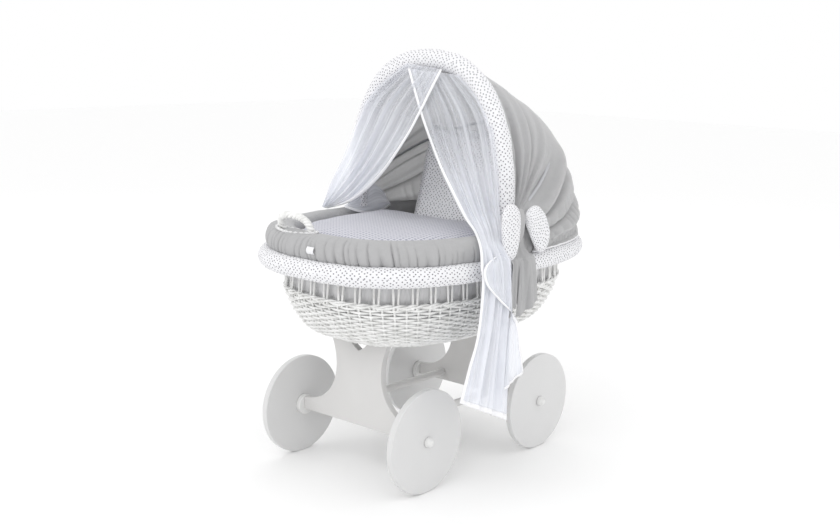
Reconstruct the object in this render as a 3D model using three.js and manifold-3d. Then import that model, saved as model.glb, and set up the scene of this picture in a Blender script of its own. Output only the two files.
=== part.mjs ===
// Wicker bassinet with a folding hood, on a wheeled stand. Millimetres, +Z up.
// +X points to the head end. The origin is on the floor, under the middle of the basket.
import * as THREE from "three";
import { mergeVertices } from "three/addons/utils/BufferGeometryUtils.js";
import Module from "manifold-3d";

// Stand
const wheelRadius = 125;
const wheelThickness = 16;
const wheelOuterY = 218;
const wheelSides = 32;
const axleX = { foot: -235.5, head: 211.5 };
const axleRadius = 6;
const panelThickness = 18;
const panelBottomZ = 117;
const panelTopZ = 339.7;
const armEndY = 188;
const armTopZ = 148;
const waist = { y: 75, z: 257 };
const panelTopHalfWidth = 97;
const heartTipZ = 305;
const dowel = { y: 104, z: 140, radius: 9.5 };
const screwRadius = 3;

// Basket: superellipse loops [half length, half width, height]
const loopPower = 2.6;
const loopSegments = 36;
const basketFloorZ = 340;
const rim = { halfLength: 373, halfWidth: 258, topZ: 590 };
const roll = { halfLength: 423, halfWidth: 296, z: 530, radius: 24 };
const mattressTopZ = 445;

// Hood: both bows share one pivot line along Y
const pivotZ = 640;
const frontBow = { halfWidth: 241, height: 359, power: 2.4, padRadius: 25 };
const padFirstT = 0.086; // the pad starts high enough to pass inside the rear bow
const rearBow = { halfWidth: 272, height: 388, power: 2.15, angle: THREE.MathUtils.degToRad(60) };
const wireRadius = 4;
const pinRadius = 4;
const gap = 0.3;

const colours = {
  lacquer: new THREE.MeshStandardMaterial({ color: 0xefefed, roughness: 0.35 }),
  wicker: new THREE.MeshStandardMaterial({ color: 0xf0efeb, roughness: 0.6 }),
  greyCotton: new THREE.MeshStandardMaterial({ color: 0xbdbdbf, roughness: 0.9 }),
  dottedCotton: new THREE.MeshStandardMaterial({ color: 0xf4f4f4, roughness: 0.9 }),
  waffleCotton: new THREE.MeshStandardMaterial({ color: 0xd8d8e2, roughness: 0.9 }),
  tulle: new THREE.MeshStandardMaterial({ color: 0xe2e6f2, roughness: 0.8 }),
  foam: new THREE.MeshStandardMaterial({ color: 0xececec, roughness: 0.9 }),
  steel: new THREE.MeshStandardMaterial({ color: 0xb8b8bc, roughness: 0.35, metalness: 1 }),
};

const wasm = await Module();
wasm.setup();
const bassinet = new THREE.Group();

// ---------- geometry helpers ----------

function positionsOnly(geometry) {
  const bare = geometry.clone();
  bare.deleteAttribute("normal");
  bare.deleteAttribute("uv");
  return mergeVertices(bare, 1e-4);
}

function toSolid(geometry) {
  const merged = positionsOnly(geometry);
  return new wasm.Manifold(new wasm.Mesh({
    numProp: 3,
    vertProperties: new Float32Array(merged.attributes.position.array),
    triVerts: new Uint32Array(merged.index.array),
  }));
}

function toGeometry(solid) {
  const mesh = solid.getMesh();
  const geometry = new THREE.BufferGeometry();
  geometry.setAttribute("position", new THREE.BufferAttribute(mesh.vertProperties, 3));
  geometry.setIndex(new THREE.BufferAttribute(mesh.triVerts, 1));
  return geometry;
}

function cut(geometry, tools) {
  let solid = toSolid(geometry);
  for (const tool of tools) solid = solid.subtract(toSolid(tool));
  return toGeometry(solid);
}

function join(geometries) {
  let solid = toSolid(geometries[0]);
  for (const other of geometries.slice(1)) solid = solid.add(toSolid(other));
  return toGeometry(solid);
}

function addPart(name, geometry, material) {
  const mesh = new THREE.Mesh(geometry, material);
  mesh.name = name;
  bassinet.add(mesh);
  return mesh;
}

// Turns the faces outwards when the enclosed volume comes out negative.
function facingOut(geometry) {
  const p = geometry.attributes.position;
  const index = geometry.index.array;
  const [a, b, c] = [new THREE.Vector3(), new THREE.Vector3(), new THREE.Vector3()];
  let volume = 0;
  for (let i = 0; i < index.length; i += 3) {
    a.fromBufferAttribute(p, index[i]);
    b.fromBufferAttribute(p, index[i + 1]);
    c.fromBufferAttribute(p, index[i + 2]);
    volume += a.dot(b.cross(c));
  }
  if (volume < 0) {
    for (let i = 0; i < index.length; i += 3) {
      [index[i + 1], index[i + 2]] = [index[i + 2], index[i + 1]];
    }
  }
  return geometry;
}

// Skins a stack of closed loops that all have the same number of points.
// ends: "joined" closes the stack on itself, "fan" and "strip" cap it.
function loftLoops(loops, ends) {
  const count = loops[0].length;
  const points = loops.flat();
  const index = [];
  const rows = ends === "joined" ? loops.length : loops.length - 1;
  for (let row = 0; row < rows; row += 1) {
    const next = (row + 1) % loops.length;
    for (let i = 0; i < count; i += 1) {
      const j = (i + 1) % count;
      index.push(row * count + i, row * count + j, next * count + j);
      index.push(row * count + i, next * count + j, next * count + i);
    }
  }
  if (ends !== "joined") {
    for (const [row, flip] of [[0, true], [loops.length - 1, false]]) {
      const capFaces = ends === "fan" ? fanCap(points, loops[row], row) : stripCap(count, row);
      for (const [i, j, k] of capFaces) index.push(...(flip ? [i, k, j] : [i, j, k]));
    }
  }
  const geometry = new THREE.BufferGeometry().setFromPoints(points);
  geometry.setIndex(index);
  return facingOut(geometry);
}

function fanCap(points, loop, row) {
  const count = loop.length;
  const centre = loop.reduce((sum, p) => sum.add(p), new THREE.Vector3()).divideScalar(count);
  points.push(centre);
  return loop.map((_, i) => [points.length - 1, row * count + i, row * count + ((i + 1) % count)]);
}

function stripCap(count, row) {
  const faces = [];
  const at = (i) => row * count + i;
  for (let i = 0; i < count / 2 - 1; i += 1) {
    faces.push([at(i), at(i + 1), at(count - 2 - i)]);
    faces.push([at(i), at(count - 2 - i), at(count - 1 - i)]);
  }
  return faces;
}

function signedPower(value, power) {
  return Math.sign(value) * Math.abs(value) ** power;
}

function basketLoop(halfLength, halfWidth, z) {
  const loop = [];
  for (let i = 0; i < loopSegments; i += 1) {
    const angle = (2 * Math.PI * i) / loopSegments;
    loop.push(new THREE.Vector3(
      halfLength * signedPower(Math.cos(angle), 2 / loopPower),
      halfWidth * signedPower(Math.sin(angle), 2 / loopPower),
      z,
    ));
  }
  return loop;
}

function loopRing(profile) {
  return loftLoops(profile.map((p) => basketLoop(...p)), "joined");
}

function loopBlock(profile) {
  return loftLoops(profile.map((p) => basketLoop(...p)), "fan");
}

// A thin closed sheet around the surface pointAt(u, v), with u and v from 0 to 1.
function sheet(pointAt, thickness, across, down) {
  const step = 1e-3;
  const loops = [];
  for (let row = 0; row <= down; row += 1) {
    const front = [];
    const back = [];
    for (let col = 0; col <= across; col += 1) {
      const u = THREE.MathUtils.clamp(col / across, step, 1 - step);
      const v = THREE.MathUtils.clamp(row / down, step, 1 - step);
      const alongU = pointAt(u + step, v).sub(pointAt(u - step, v));
      const alongV = pointAt(u, v + step).sub(pointAt(u, v - step));
      const offset = alongU.cross(alongV).normalize().multiplyScalar(thickness / 2);
      const point = pointAt(col / across, row / down);
      front.push(point.clone().add(offset));
      back.unshift(point.clone().sub(offset));
    }
    loops.push([...front, ...back]);
  }
  return loftLoops(loops, "strip");
}

function cylinder(radius, from, to, sides = 16) {
  const axis = new THREE.Vector3().subVectors(to, from);
  const geometry = new THREE.CylinderGeometry(radius, radius, axis.length(), sides);
  const turn = new THREE.Quaternion().setFromUnitVectors(new THREE.Vector3(0, 1, 0), axis.clone().normalize());
  geometry.applyQuaternion(turn);
  const middle = from.clone().add(to).multiplyScalar(0.5);
  return geometry.translate(middle.x, middle.y, middle.z);
}

function box(xRange, yRange, zRange) {
  const geometry = new THREE.BoxGeometry(
    xRange[1] - xRange[0], Math.abs(yRange[1] - yRange[0]), zRange[1] - zRange[0],
  );
  return geometry.translate(
    (xRange[0] + xRange[1]) / 2, (yRange[0] + yRange[1]) / 2, (zRange[0] + zRange[1]) / 2,
  );
}

function at(x, y, z) {
  return new THREE.Vector3(x, y, z);
}

function polygonShape(radius, sides, holeRadius = 0) {
  const shape = new THREE.Shape();
  shape.absarc(0, 0, radius, 0, 2 * Math.PI);
  shape.closePath();
  if (holeRadius > 0) {
    const hole = new THREE.Path();
    hole.absarc(0, 0, holeRadius, 0, 2 * Math.PI, true);
    shape.holes.push(hole);
  }
  const outline = shape.getSpacedPoints(sides).slice(0, sides);
  const result = new THREE.Shape(outline);
  if (holeRadius > 0) {
    const inner = shape.holes[0].getSpacedPoints(6).slice(0, 6);
    result.holes.push(new THREE.Path(inner));
  }
  return result;
}

function tubeAlong(points, radius, sides, steps, holeRadius = 0) {
  return new THREE.ExtrudeGeometry(polygonShape(radius, sides, holeRadius), {
    extrudePath: new THREE.CatmullRomCurve3(points, false, "centripetal"),
    steps,
    curveSegments: 4,
  });
}

// A round bar through the points of a flat path; normal is square to the path's plane.
function flatTube(points, radius, sides, normal) {
  const loops = points.map((point, i) => {
    const before = points[Math.max(i - 1, 0)];
    const after = points[Math.min(i + 1, points.length - 1)];
    const across = new THREE.Vector3().subVectors(after, before).normalize().cross(normal);
    return Array.from({ length: sides }, (_, k) => {
      const angle = (2 * Math.PI * k) / sides;
      return point.clone().addScaledVector(normal, radius * Math.cos(angle))
        .addScaledVector(across, radius * Math.sin(angle));
    });
  });
  return loftLoops(loops, "fan");
}

// ---------- stand ----------

function panelOutline() {
  const notch = 30;
  const side = (s) => ({
    armToWaist: [s * 120, 150, s * waist.y, 195, s * waist.y, waist.z],
    waistToTop: [s * waist.y, 290, s * 86, 318, s * panelTopHalfWidth, panelTopZ],
  });
  const shape = new THREE.Shape();
  shape.moveTo(-armEndY, panelBottomZ);
  shape.lineTo(armEndY, panelBottomZ);
  shape.lineTo(armEndY, armTopZ);
  shape.bezierCurveTo(...side(1).armToWaist);
  shape.bezierCurveTo(...side(1).waistToTop);
  shape.lineTo(notch, panelTopZ);
  shape.bezierCurveTo(notch + 4, 322, 12, 312, 0, heartTipZ);
  shape.bezierCurveTo(-12, 312, -notch - 4, 322, -notch, panelTopZ);
  shape.lineTo(-panelTopHalfWidth, panelTopZ);
  shape.bezierCurveTo(-86, 318, -waist.y, 290, -waist.y, waist.z);
  shape.bezierCurveTo(-waist.y, 195, -120, 150, -armEndY, armTopZ);
  return shape;
}

// An hourglass board: blind axle bores in the arm ends, and counterbored screw holes for the dowels.
function buildPanel(name, x, outward) {
  const geometry = new THREE.ExtrudeGeometry(panelOutline(), {
    depth: panelThickness, bevelEnabled: false, curveSegments: 7,
  });
  geometry.rotateX(Math.PI / 2).rotateZ(Math.PI / 2);
  geometry.translate(x - panelThickness / 2, 0, 0);
  const tools = [];
  const outerX = x + (outward * panelThickness) / 2;
  for (const s of [-1, 1]) {
    tools.push(cylinder(axleRadius + gap, at(x, s * (armEndY + 1), wheelRadius), at(x, s * 130, wheelRadius)));
    const [y, z] = [s * dowel.y, dowel.z];
    tools.push(cylinder(screwRadius + gap, at(x - panelThickness, y, z), at(x + panelThickness, y, z), 12));
    tools.push(cylinder(5.8, at(outerX + outward, y, z), at(outerX - outward * 3, y, z)));
  }
  addPart(name, cut(geometry, tools), colours.lacquer);
}

function buildDowel(name, s) {
  const ends = [axleX.foot + panelThickness / 2 + gap, axleX.head - panelThickness / 2 - gap];
  const body = cylinder(dowel.radius, at(ends[0], s * dowel.y, dowel.z), at(ends[1], s * dowel.y, dowel.z), 20);
  const holes = [[ends[0], 1], [ends[1], -1]].map(([x, inward]) => cylinder(
    screwRadius + gap, at(x - inward, s * dowel.y, dowel.z), at(x + inward * 22, s * dowel.y, dowel.z), 12,
  ));
  addPart(name, cut(body, holes), colours.lacquer);
}

function buildDowelScrew(name, panelX, outward, s) {
  const profile = [[0, 0], [5.4, 0], [5.4, 2.6], [screwRadius, 2.6], [screwRadius, 36], [0, 36]];
  const geometry = new THREE.LatheGeometry(profile.map(([r, y]) => new THREE.Vector2(r, y)), 12);
  geometry.rotateZ((outward * Math.PI) / 2);
  geometry.translate(panelX + outward * (panelThickness / 2 - 0.2), s * dowel.y, dowel.z);
  addPart(name, facingOut(positionsOnly(geometry)), colours.steel);
}

function lathe(profile, sides, phiStart = 0) {
  const points = profile.map(([r, y]) => new THREE.Vector2(r, y));
  return facingOut(positionsOnly(new THREE.LatheGeometry(points, sides, phiStart)));
}

// A solid disc wheel with softened edges. One flat of the rim is straight below the axle.
function buildWheel(name, x, s) {
  const tread = wheelRadius / Math.cos(Math.PI / wheelSides);
  const half = wheelThickness / 2;
  const bore = axleRadius + gap;
  const profile = [
    [bore, -half], [tread - 3, -half], [tread, -half + 3], [tread, half - 3], [tread - 3, half],
    [bore, half], [bore, -half],
  ];
  const geometry = lathe(profile, wheelSides, Math.PI / wheelSides);
  geometry.translate(x, s * (wheelOuterY - half), wheelRadius);
  addPart(name, geometry, colours.lacquer);
}

function buildAxleSet(label, x, s) {
  const wheelInnerY = wheelOuterY - wheelThickness;
  const spacer = cylinder(25, at(x, s * (armEndY + gap), wheelRadius), at(x, s * (wheelInnerY - gap), wheelRadius), 20);
  const spacerBore = cylinder(axleRadius + gap, at(x, s * 180, wheelRadius), at(x, s * 210, wheelRadius));
  addPart(`wheel_spacer_${label}`, cut(spacer, [spacerBore]), colours.lacquer);
  const axle = cylinder(axleRadius, at(x, s * 131, wheelRadius), at(x, s * 226, wheelRadius));
  addPart(`axle_bolt_${label}`, axle, colours.steel);
  const capInnerY = wheelOuterY + 0.4;
  const profile = [
    [axleRadius + gap, 0], [12, 0], [12.5, 4], [10.5, 11], [5, 15], [0, 15.9],
    [0, 9], [axleRadius + gap, 9], [axleRadius + gap, 0],
  ];
  const cap = lathe(profile.map(([r, y]) => [r, s * y]), 14);
  cap.translate(x, s * capInnerY, wheelRadius);
  addPart(`axle_cap_${label}`, cap, colours.lacquer);
}

function buildStand() {
  buildPanel("foot_panel", axleX.foot, -1);
  buildPanel("head_panel", axleX.head, 1);
  for (const [side, s] of [["near", -1], ["far", 1]]) {
    buildDowel(`dowel_${side}`, s);
    for (const [end, outward] of [["foot", -1], ["head", 1]]) {
      buildDowelScrew(`dowel_screw_${end}_${side}`, axleX[end], outward, s);
      buildAxleSet(`${end}_${side}`, axleX[end], s);
      buildWheel(`wheel_${end}_${side}`, axleX[end], s);
    }
  }
}

// ---------- basket ----------

// Side screws hold the hood brackets to the wicker wall at these heights.
const bracketScrewZ = [480, 515];
const bracketPlate = { inner: 246, outer: 249, halfWidth: 12, bottomZ: 470, topZ: 655 };

function buildWickerShell() {
  const wall = loopRing([
    [290, 188, basketFloorZ], [334, 225, 370], [367, 254, 415], [384, 269, 450], [379, 264, 472],
    [379, 264, rim.topZ], [367, 252, rim.topZ], [367, 252, 460], [352, 239, 420], [312, 206, 370],
    [278, 176, basketFloorZ],
  ]);
  const holes = [-1, 1].flatMap((s) => bracketScrewZ.map(
    (z) => cylinder(2.3, at(0, s * 249, z), at(0, s * 261, z), 10),
  ));
  addPart("wicker_wall", cut(wall, holes), colours.wicker);
  addPart("wicker_floor", loopBlock([
    [277.5, 175.5, basketFloorZ], [277.5, 175.5, basketFloorZ + 8],
  ]), colours.wicker);
}

// Twisted willow grips: arches standing on the rim and passing through the bumper ring.
// The foot grip is woven in a little off the middle.
const handle = { halfSpan: 50, apexX: 392, apexZ: 650, radius: 7, centreY: { foot: 75, head: 0 } };

function rimX(y) {
  return rim.halfLength * (1 - (Math.abs(y) / rim.halfWidth) ** loopPower) ** (1 / loopPower);
}

function handlePath(end, centreY) {
  const { halfSpan, apexX, apexZ, radius } = handle;
  const [low, high] = [centreY - halfSpan, centreY + halfSpan];
  return [
    at(end * rimX(low), low, rim.topZ + 2), at(end * (rimX(low) + 4), low + 1, 618),
    at(end * (apexX - 3), low + 10, apexZ - 16), at(end * apexX, centreY, apexZ - radius),
    at(end * (apexX - 3), high - 10, apexZ - 16), at(end * (rimX(high) + 4), high - 1, 618),
    at(end * rimX(high), high, rim.topZ + 2),
  ];
}

function buildHandles() {
  for (const [name, end] of [["foot", -1], ["head", 1]]) {
    const path = handlePath(end, handle.centreY[name]);
    addPart(`handle_${name}`, tubeAlong(path, handle.radius, 6, 18), colours.wicker);
  }
}

// The stuffed ring hangs over the rim like a saddle; the handles and hood brackets pass through it.
function buildBumperRing() {
  const offsets = [
    [8, 557], [34, 557], [41, 568], [41, 582], [34, 596], [16, 604], [-8, 603], [-20, 592],
    [-20, 545], [-13.5, 545], [-13.5, 591.5], [8, 591.5],
  ];
  const ring = loopRing(offsets.map(([o, z]) => [rim.halfLength + o, rim.halfWidth + o, z]));
  const tools = [];
  for (const s of [-1, 1]) {
    tools.push(box([-14, 14], [s * (bracketPlate.inner - 1), s * (bracketPlate.outer + 1)], [580, 612]));
    const centreY = s < 0 ? handle.centreY.foot : handle.centreY.head;
    for (const y of [centreY - handle.halfSpan, centreY + handle.halfSpan]) {
      tools.push(cylinder(handle.radius + 2, at(s * (rimX(y) - 0.5), y, 585), at(s * (rimX(y) + 4), y, 615)));
    }
  }
  addPart("bumper_ring", cut(ring, tools), colours.greyCotton);
  const tabX = -rim.halfLength - 41;
  addPart("blank_label", box([tabX - 2.6, tabX - 0.8], [-34, -12], [568, 584]), colours.dottedCotton);
}

function buildPaddedRoll() {
  const sides = 10;
  const profile = [];
  for (let i = 0; i < sides; i += 1) {
    const angle = (2 * Math.PI * i) / sides;
    const out = roll.radius * Math.cos(angle);
    profile.push([roll.halfLength + out, roll.halfWidth + out, roll.z + roll.radius * Math.sin(angle)]);
  }
  addPart("padded_roll", loopRing(profile), colours.dottedCotton);
}

function buildBedding() {
  const lining = loopRing([
    [276, 173, 352], [344, 231, 420], [358, 243, 460], [358, 243, 543],
    [355, 240, 543], [355, 240, 460], [341, 228, 420], [273, 170, 352],
  ]);
  addPart("lining", lining, colours.greyCotton);
  addPart("mattress", loopBlock([
    [262, 160, 356], [312, 202, 400], [326, 214, 436], [320, 208, mattressTopZ],
  ]), colours.foam);
  const duvet = loopBlock([
    [322, 208, 448], [340, 226, 470], [345, 230, 520], [344, 229, 575], [325, 210, 597],
    [270, 165, 608], [150, 90, 613],
  ]);
  const headroom = new THREE.BoxGeometry(700, 600, 700).translate(350, 0, 0);
  headroom.rotateY(pillow.lean).translate(pillow.footX - 8, 0, pillow.footZ);
  addPart("duvet", cut(duvet, [headroom]), colours.waffleCotton);
  buildPillow();
}

const pillow = { halfWidth: 160, height: 392, footX: 64, footZ: 470, lean: THREE.MathUtils.degToRad(17) };

// A flat cushion that stands at the head end and leans back.
function buildPillow() {
  const inset = 26;
  const half = pillow.halfWidth - inset;
  const low = inset;
  const high = pillow.height - inset;
  const shape = new THREE.Shape();
  shape.moveTo(-half, low);
  shape.lineTo(half, low);
  shape.lineTo(half, high);
  shape.lineTo(-half, high);
  const geometry = new THREE.ExtrudeGeometry(shape, {
    depth: 16, bevelThickness: 18, bevelSize: inset, bevelSegments: 4,
  });
  geometry.rotateX(Math.PI / 2).rotateZ(Math.PI / 2).translate(18, 0, 0);
  geometry.rotateY(pillow.lean).translate(pillow.footX, 0, pillow.footZ);
  addPart("pillow", facingOut(positionsOnly(geometry)), colours.dottedCotton);
}

// ---------- hood ----------

// A point of an upright arch over the pivot line, turned back by angle; t runs 0 to PI.
// behind moves it off the arch's plane, towards the head end.
function archPoint(arch, t, angle, behind = 0) {
  const y = -arch.halfWidth * signedPower(Math.cos(t), 2 / arch.power);
  const radius = arch.height * signedPower(Math.sin(t), 2 / arch.power);
  const x = radius * Math.sin(angle) + behind * Math.cos(angle);
  return at(x, y, pivotZ + radius * Math.cos(angle) - behind * Math.sin(angle));
}

function archPath(arch, angle, steps, fromT = 0) {
  const points = [];
  for (let i = 0; i <= steps; i += 1) {
    points.push(archPoint(arch, fromT + ((Math.PI - 2 * fromT) * i) / steps, angle));
  }
  return points;
}

function eye(innerY, outerY) {
  return cylinder(10, at(0, innerY, pivotZ), at(0, outerY, pivotZ), 20);
}

function pinHole(radius = pinRadius + gap) {
  return cylinder(radius, at(0, -290, pivotZ), at(0, 290, pivotZ), 16);
}

function buildFrontBow() {
  const wire = flatTube(archPath(frontBow, 0, 26), wireRadius, 6, at(1, 0, 0));
  const eyes = [-1, 1].map((s) => eye(s * 237.5, s * 244.5));
  addPart("front_bow", cut(join([wire, ...eyes]), [pinHole()]), colours.steel);
  const padPath = archPath(frontBow, 0, 28, padFirstT);
  const pad = tubeAlong(padPath, frontBow.padRadius, 10, 26, wireRadius + 1);
  addPart("front_bow_pad", pad, colours.dottedCotton);
}

// The rear bow runs outside the padded front bow and steps in to its pivot eyes.
function buildRearBow() {
  const eyeY = 254;
  const arch = archPath(rearBow, rearBow.angle, 26, 0.085);
  const foot = (s) => [0, 16].map((along) => at(
    along * Math.sin(rearBow.angle), s * eyeY, pivotZ + along * Math.cos(rearBow.angle),
  ));
  const normal = at(Math.cos(rearBow.angle), 0, -Math.sin(rearBow.angle));
  const wire = flatTube([...foot(-1), ...arch, ...foot(1).reverse()], wireRadius, 6, normal);
  const eyes = [-1, 1].map((s) => eye(s * 250.5, s * 257.5));
  addPart("rear_bow", cut(join([wire, ...eyes]), [pinHole()]), colours.steel);
}

function buildHoodHinge(side, s) {
  const { inner, outer, halfWidth, bottomZ, topZ } = bracketPlate;
  const plate = join([
    box([-halfWidth, halfWidth], [s * inner, s * outer], [bottomZ, pivotZ]),
    cylinder(topZ - pivotZ, at(0, s * inner, pivotZ), at(0, s * outer, pivotZ), 24),
  ]);
  const holes = [pinHole(), ...bracketScrewZ.map(
    (z) => cylinder(2.3, at(0, s * (inner - 5), z), at(0, s * (outer + 5), z), 10),
  )];
  addPart(`hood_bracket_${side}`, cut(plate, holes), colours.steel);
  const bolt = lathe([[0, 0], [7.5, 0], [7.5, 5], [pinRadius, 5], [pinRadius, 31], [0, 31]].map(([r, y]) => [r, s * y]), 16);
  bolt.translate(0, s * 231.4, pivotZ);
  addPart(`hood_pivot_bolt_${side}`, bolt, colours.steel);
  const nut = cylinder(7, at(0, s * 258.8, pivotZ), at(0, s * 263.5, pivotZ), 6);
  addPart(`hood_pivot_nut_${side}`, cut(nut, [pinHole()]), colours.steel);
  bracketScrewZ.forEach((z, i) => {
    const profile = [[0, 0], [4, 0], [4, 1.6], [2, 1.6], [2, 15], [0, 15]];
    const screw = lathe(profile.map(([r, y]) => [r, s * y]), 10);
    screw.translate(0, s * 244, z);
    addPart(`bracket_screw_${side}_${i + 1}`, screw, colours.steel);
  });
}

const canopyThickness = 4;
const canopyFront = { halfWidth: 264, height: 380, power: 2.5 };
const canopyRear = { halfWidth: 284, height: 402, power: 2.15 };
const firstArchT = 0.06;

function archT(u) {
  return firstArchT + (Math.PI - 2 * firstArchT) * u;
}

// Cloth stretched from the front bow to the rear bow.
function canopyFrontPoint(u, v) {
  const arch = {
    halfWidth: THREE.MathUtils.lerp(canopyFront.halfWidth, canopyRear.halfWidth, v),
    height: THREE.MathUtils.lerp(canopyFront.height, canopyRear.height, v),
    power: THREE.MathUtils.lerp(canopyFront.power, canopyRear.power, v),
  };
  const angle = v * rearBow.angle;
  const sag = 1 - 0.1 * Math.sin(Math.PI * v) * Math.sin(archT(u)) ** 2;
  arch.height *= sag;
  return archPoint(arch, archT(u), angle, THREE.MathUtils.lerp(28, -3, v));
}

// Cloth falling from the rear bow to a hem that lies on the padded roll around the head end.
function canopyRearPoint(u, v) {
  const top = archPoint(canopyRear, archT(u), rearBow.angle, 3);
  const turn = THREE.MathUtils.lerp(-1, 1, u) * THREE.MathUtils.degToRad(88);
  const hem = at(
    432 * signedPower(Math.cos(turn), 2 / loopPower), 305 * signedPower(Math.sin(turn), 2 / loopPower), 558,
  );
  const spread = 1 - (1 - v) ** 2;
  return at(
    THREE.MathUtils.lerp(top.x, Math.max(hem.x, 30), spread),
    THREE.MathUtils.lerp(top.y, hem.y, spread),
    THREE.MathUtils.lerp(top.z, hem.z, v),
  );
}

function buildCanopy() {
  addPart("canopy_front", sheet(canopyFrontPoint, canopyThickness, 22, 4), colours.greyCotton);
  addPart("canopy_rear", sheet(canopyRearPoint, canopyThickness, 22, 5), colours.greyCotton);
}

// ---------- veil and ribbon ----------

// A ruled sheet between two edge curves that run from top to bottom.
function curtain(innerEdge, outerEdge, thickness, across, down) {
  const inner = new THREE.CatmullRomCurve3(innerEdge);
  const outer = new THREE.CatmullRomCurve3(outerEdge);
  return sheet((u, v) => inner.getPoint(v).lerp(outer.getPoint(v), u), thickness, across, down);
}

function buildVeil() {
  const near = curtain(
    [at(-54, 45, 985), at(-56, -13, 869), at(-68, -80, 764), at(-100, -148, 705), at(-128, -218, 640), at(-160, -252, 616)],
    [at(-50, -60, 985), at(-46, -165, 905), at(-44, -215, 830), at(-46, -234, 750), at(-56, -246, 680), at(-104, -252, 616)],
    3, 4, 10,
  );
  addPart("veil_near", near, colours.tulle);
  const far = curtain(
    [at(-42, -40, 985), at(-42, 20, 868), at(-44, 90, 775), at(-48, 150, 700), at(-64, 200, 645), at(-82, 226, 618)],
    [at(-42, 60, 985), at(-42, 150, 900), at(-42, 196, 800), at(-42, 214, 700), at(-44, 224, 650), at(-48, 230, 618)],
    3, 4, 10,
  );
  addPart("veil_far", far, colours.tulle);
  const tailInner = [
    at(-162, -262, 608), at(-176, -288, 606), at(-190, -306, 590), at(-200, -323, 560), at(-203, -327, 530),
    at(-205, -327, 400), at(-245, -327, 200),
  ];
  const tailOuter = [
    at(-132, -262, 608), at(-130, -288, 606), at(-128, -306, 590), at(-124, -323, 560), at(-120, -327, 530),
    at(-96, -327, 400), at(-20, -327, 240),
  ];
  addPart("veil_tail", curtain(tailInner, tailOuter, 3, 2, 18), colours.tulle);
}

function ribbonLobe(centre, radii) {
  const geometry = new THREE.SphereGeometry(1, 12, 8).scale(...radii);
  return facingOut(positionsOnly(geometry.translate(...centre)));
}

// A flat strip from behind the knot, over the padded roll and down the basket.
function buildRibbonTail(name, footEdgeX, headEdgeX) {
  const drop = [[-304, 596], [-304.5, 575], [-312, 557.5], [-321.5, 545], [-324.5, 528], [-324.5, 410]];
  const edge = ([topX, bottomX]) => drop.map(([y, z]) => at(
    THREE.MathUtils.mapLinear(z, drop[0][1], drop[5][1], topX, bottomX), y, z,
  ));
  addPart(name, curtain(edge(footEdgeX), edge(headEdgeX), 3, 1, 12), colours.greyCotton);
}

function buildRibbon() {
  addPart("ribbon_lobe_foot", ribbonLobe([-96, -320, 624], [29, 12, 66]), colours.dottedCotton);
  addPart("ribbon_lobe_head", ribbonLobe([18, -320, 622], [50, 12, 66]), colours.dottedCotton);
  addPart("ribbon_knot", ribbonLobe([-50.5, -318, 630], [15, 14, 38]), colours.greyCotton);
  buildRibbonTail("ribbon_tail_foot", [-82, -94], [-46, -50]);
  buildRibbonTail("ribbon_tail_head", [-40, -45], [-6, 12]);
}

// ---------- assembly ----------

buildStand();
buildWickerShell();
buildHandles();
buildBumperRing();
buildPaddedRoll();
buildBedding();
buildFrontBow();
buildRearBow();
buildHoodHinge("near", -1);
buildHoodHinge("far", 1);
buildCanopy();
buildVeil();
buildRibbon();

export default bassinet;
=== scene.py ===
import bisect
import math
import bmesh
import bpy
from mathutils import Matrix, Vector, noise


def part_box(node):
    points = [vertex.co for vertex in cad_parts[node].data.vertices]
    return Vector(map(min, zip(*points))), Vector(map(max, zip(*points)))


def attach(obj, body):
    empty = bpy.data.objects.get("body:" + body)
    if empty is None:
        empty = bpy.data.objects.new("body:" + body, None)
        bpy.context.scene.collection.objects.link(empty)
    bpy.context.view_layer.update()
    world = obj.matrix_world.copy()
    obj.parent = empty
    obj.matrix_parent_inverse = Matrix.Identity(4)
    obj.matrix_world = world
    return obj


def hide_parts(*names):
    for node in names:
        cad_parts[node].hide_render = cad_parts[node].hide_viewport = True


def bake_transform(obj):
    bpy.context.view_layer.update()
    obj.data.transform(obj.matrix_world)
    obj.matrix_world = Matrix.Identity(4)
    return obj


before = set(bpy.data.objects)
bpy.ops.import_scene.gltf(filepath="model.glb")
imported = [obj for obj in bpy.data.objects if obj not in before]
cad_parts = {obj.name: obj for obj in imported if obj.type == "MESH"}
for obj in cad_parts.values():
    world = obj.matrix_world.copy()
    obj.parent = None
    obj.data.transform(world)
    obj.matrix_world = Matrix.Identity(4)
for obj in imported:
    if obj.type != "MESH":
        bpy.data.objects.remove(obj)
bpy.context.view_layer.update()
mm = 0.001


def linear(hexColour):
    # sRGB hex to linear RGBA
    channels = [int(hexColour[i:i + 2], 16) / 255 for i in (1, 3, 5)]
    return [c / 12.92 if c <= 0.04045 else ((c + 0.055) / 1.055) ** 2.4 for c in channels] + [1.0]


def addNode(tree, kind, settings=None, links=None):
    node = tree.nodes.new(kind)
    for name, value in (settings or {}).items():
        if isinstance(name, str) and hasattr(node, name):
            setattr(node, name, value)
        else:
            node.inputs[name].default_value = value
    for socket, source in (links or {}).items():
        tree.links.new(source, node.inputs[socket])
    return node


def startMaterial(name, baseSettings):
    material = bpy.data.materials.new(name)
    material.use_nodes = True
    tree = material.node_tree
    tree.nodes.clear()
    shader = addNode(tree, "ShaderNodeBsdfPrincipled", baseSettings)
    addNode(tree, "ShaderNodeOutputMaterial", links={"Surface": shader.outputs[0]})
    return material, tree, shader


def objectFrom(bm, name, material, smooth=True):
    mesh = bpy.data.meshes.new(name)
    bm.to_mesh(mesh)
    bm.free()
    if smooth:
        mesh.shade_smooth()
    mesh.materials.append(material)
    piece = bpy.data.objects.new(name, mesh)
    bpy.context.scene.collection.objects.link(piece)
    return piece


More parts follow.
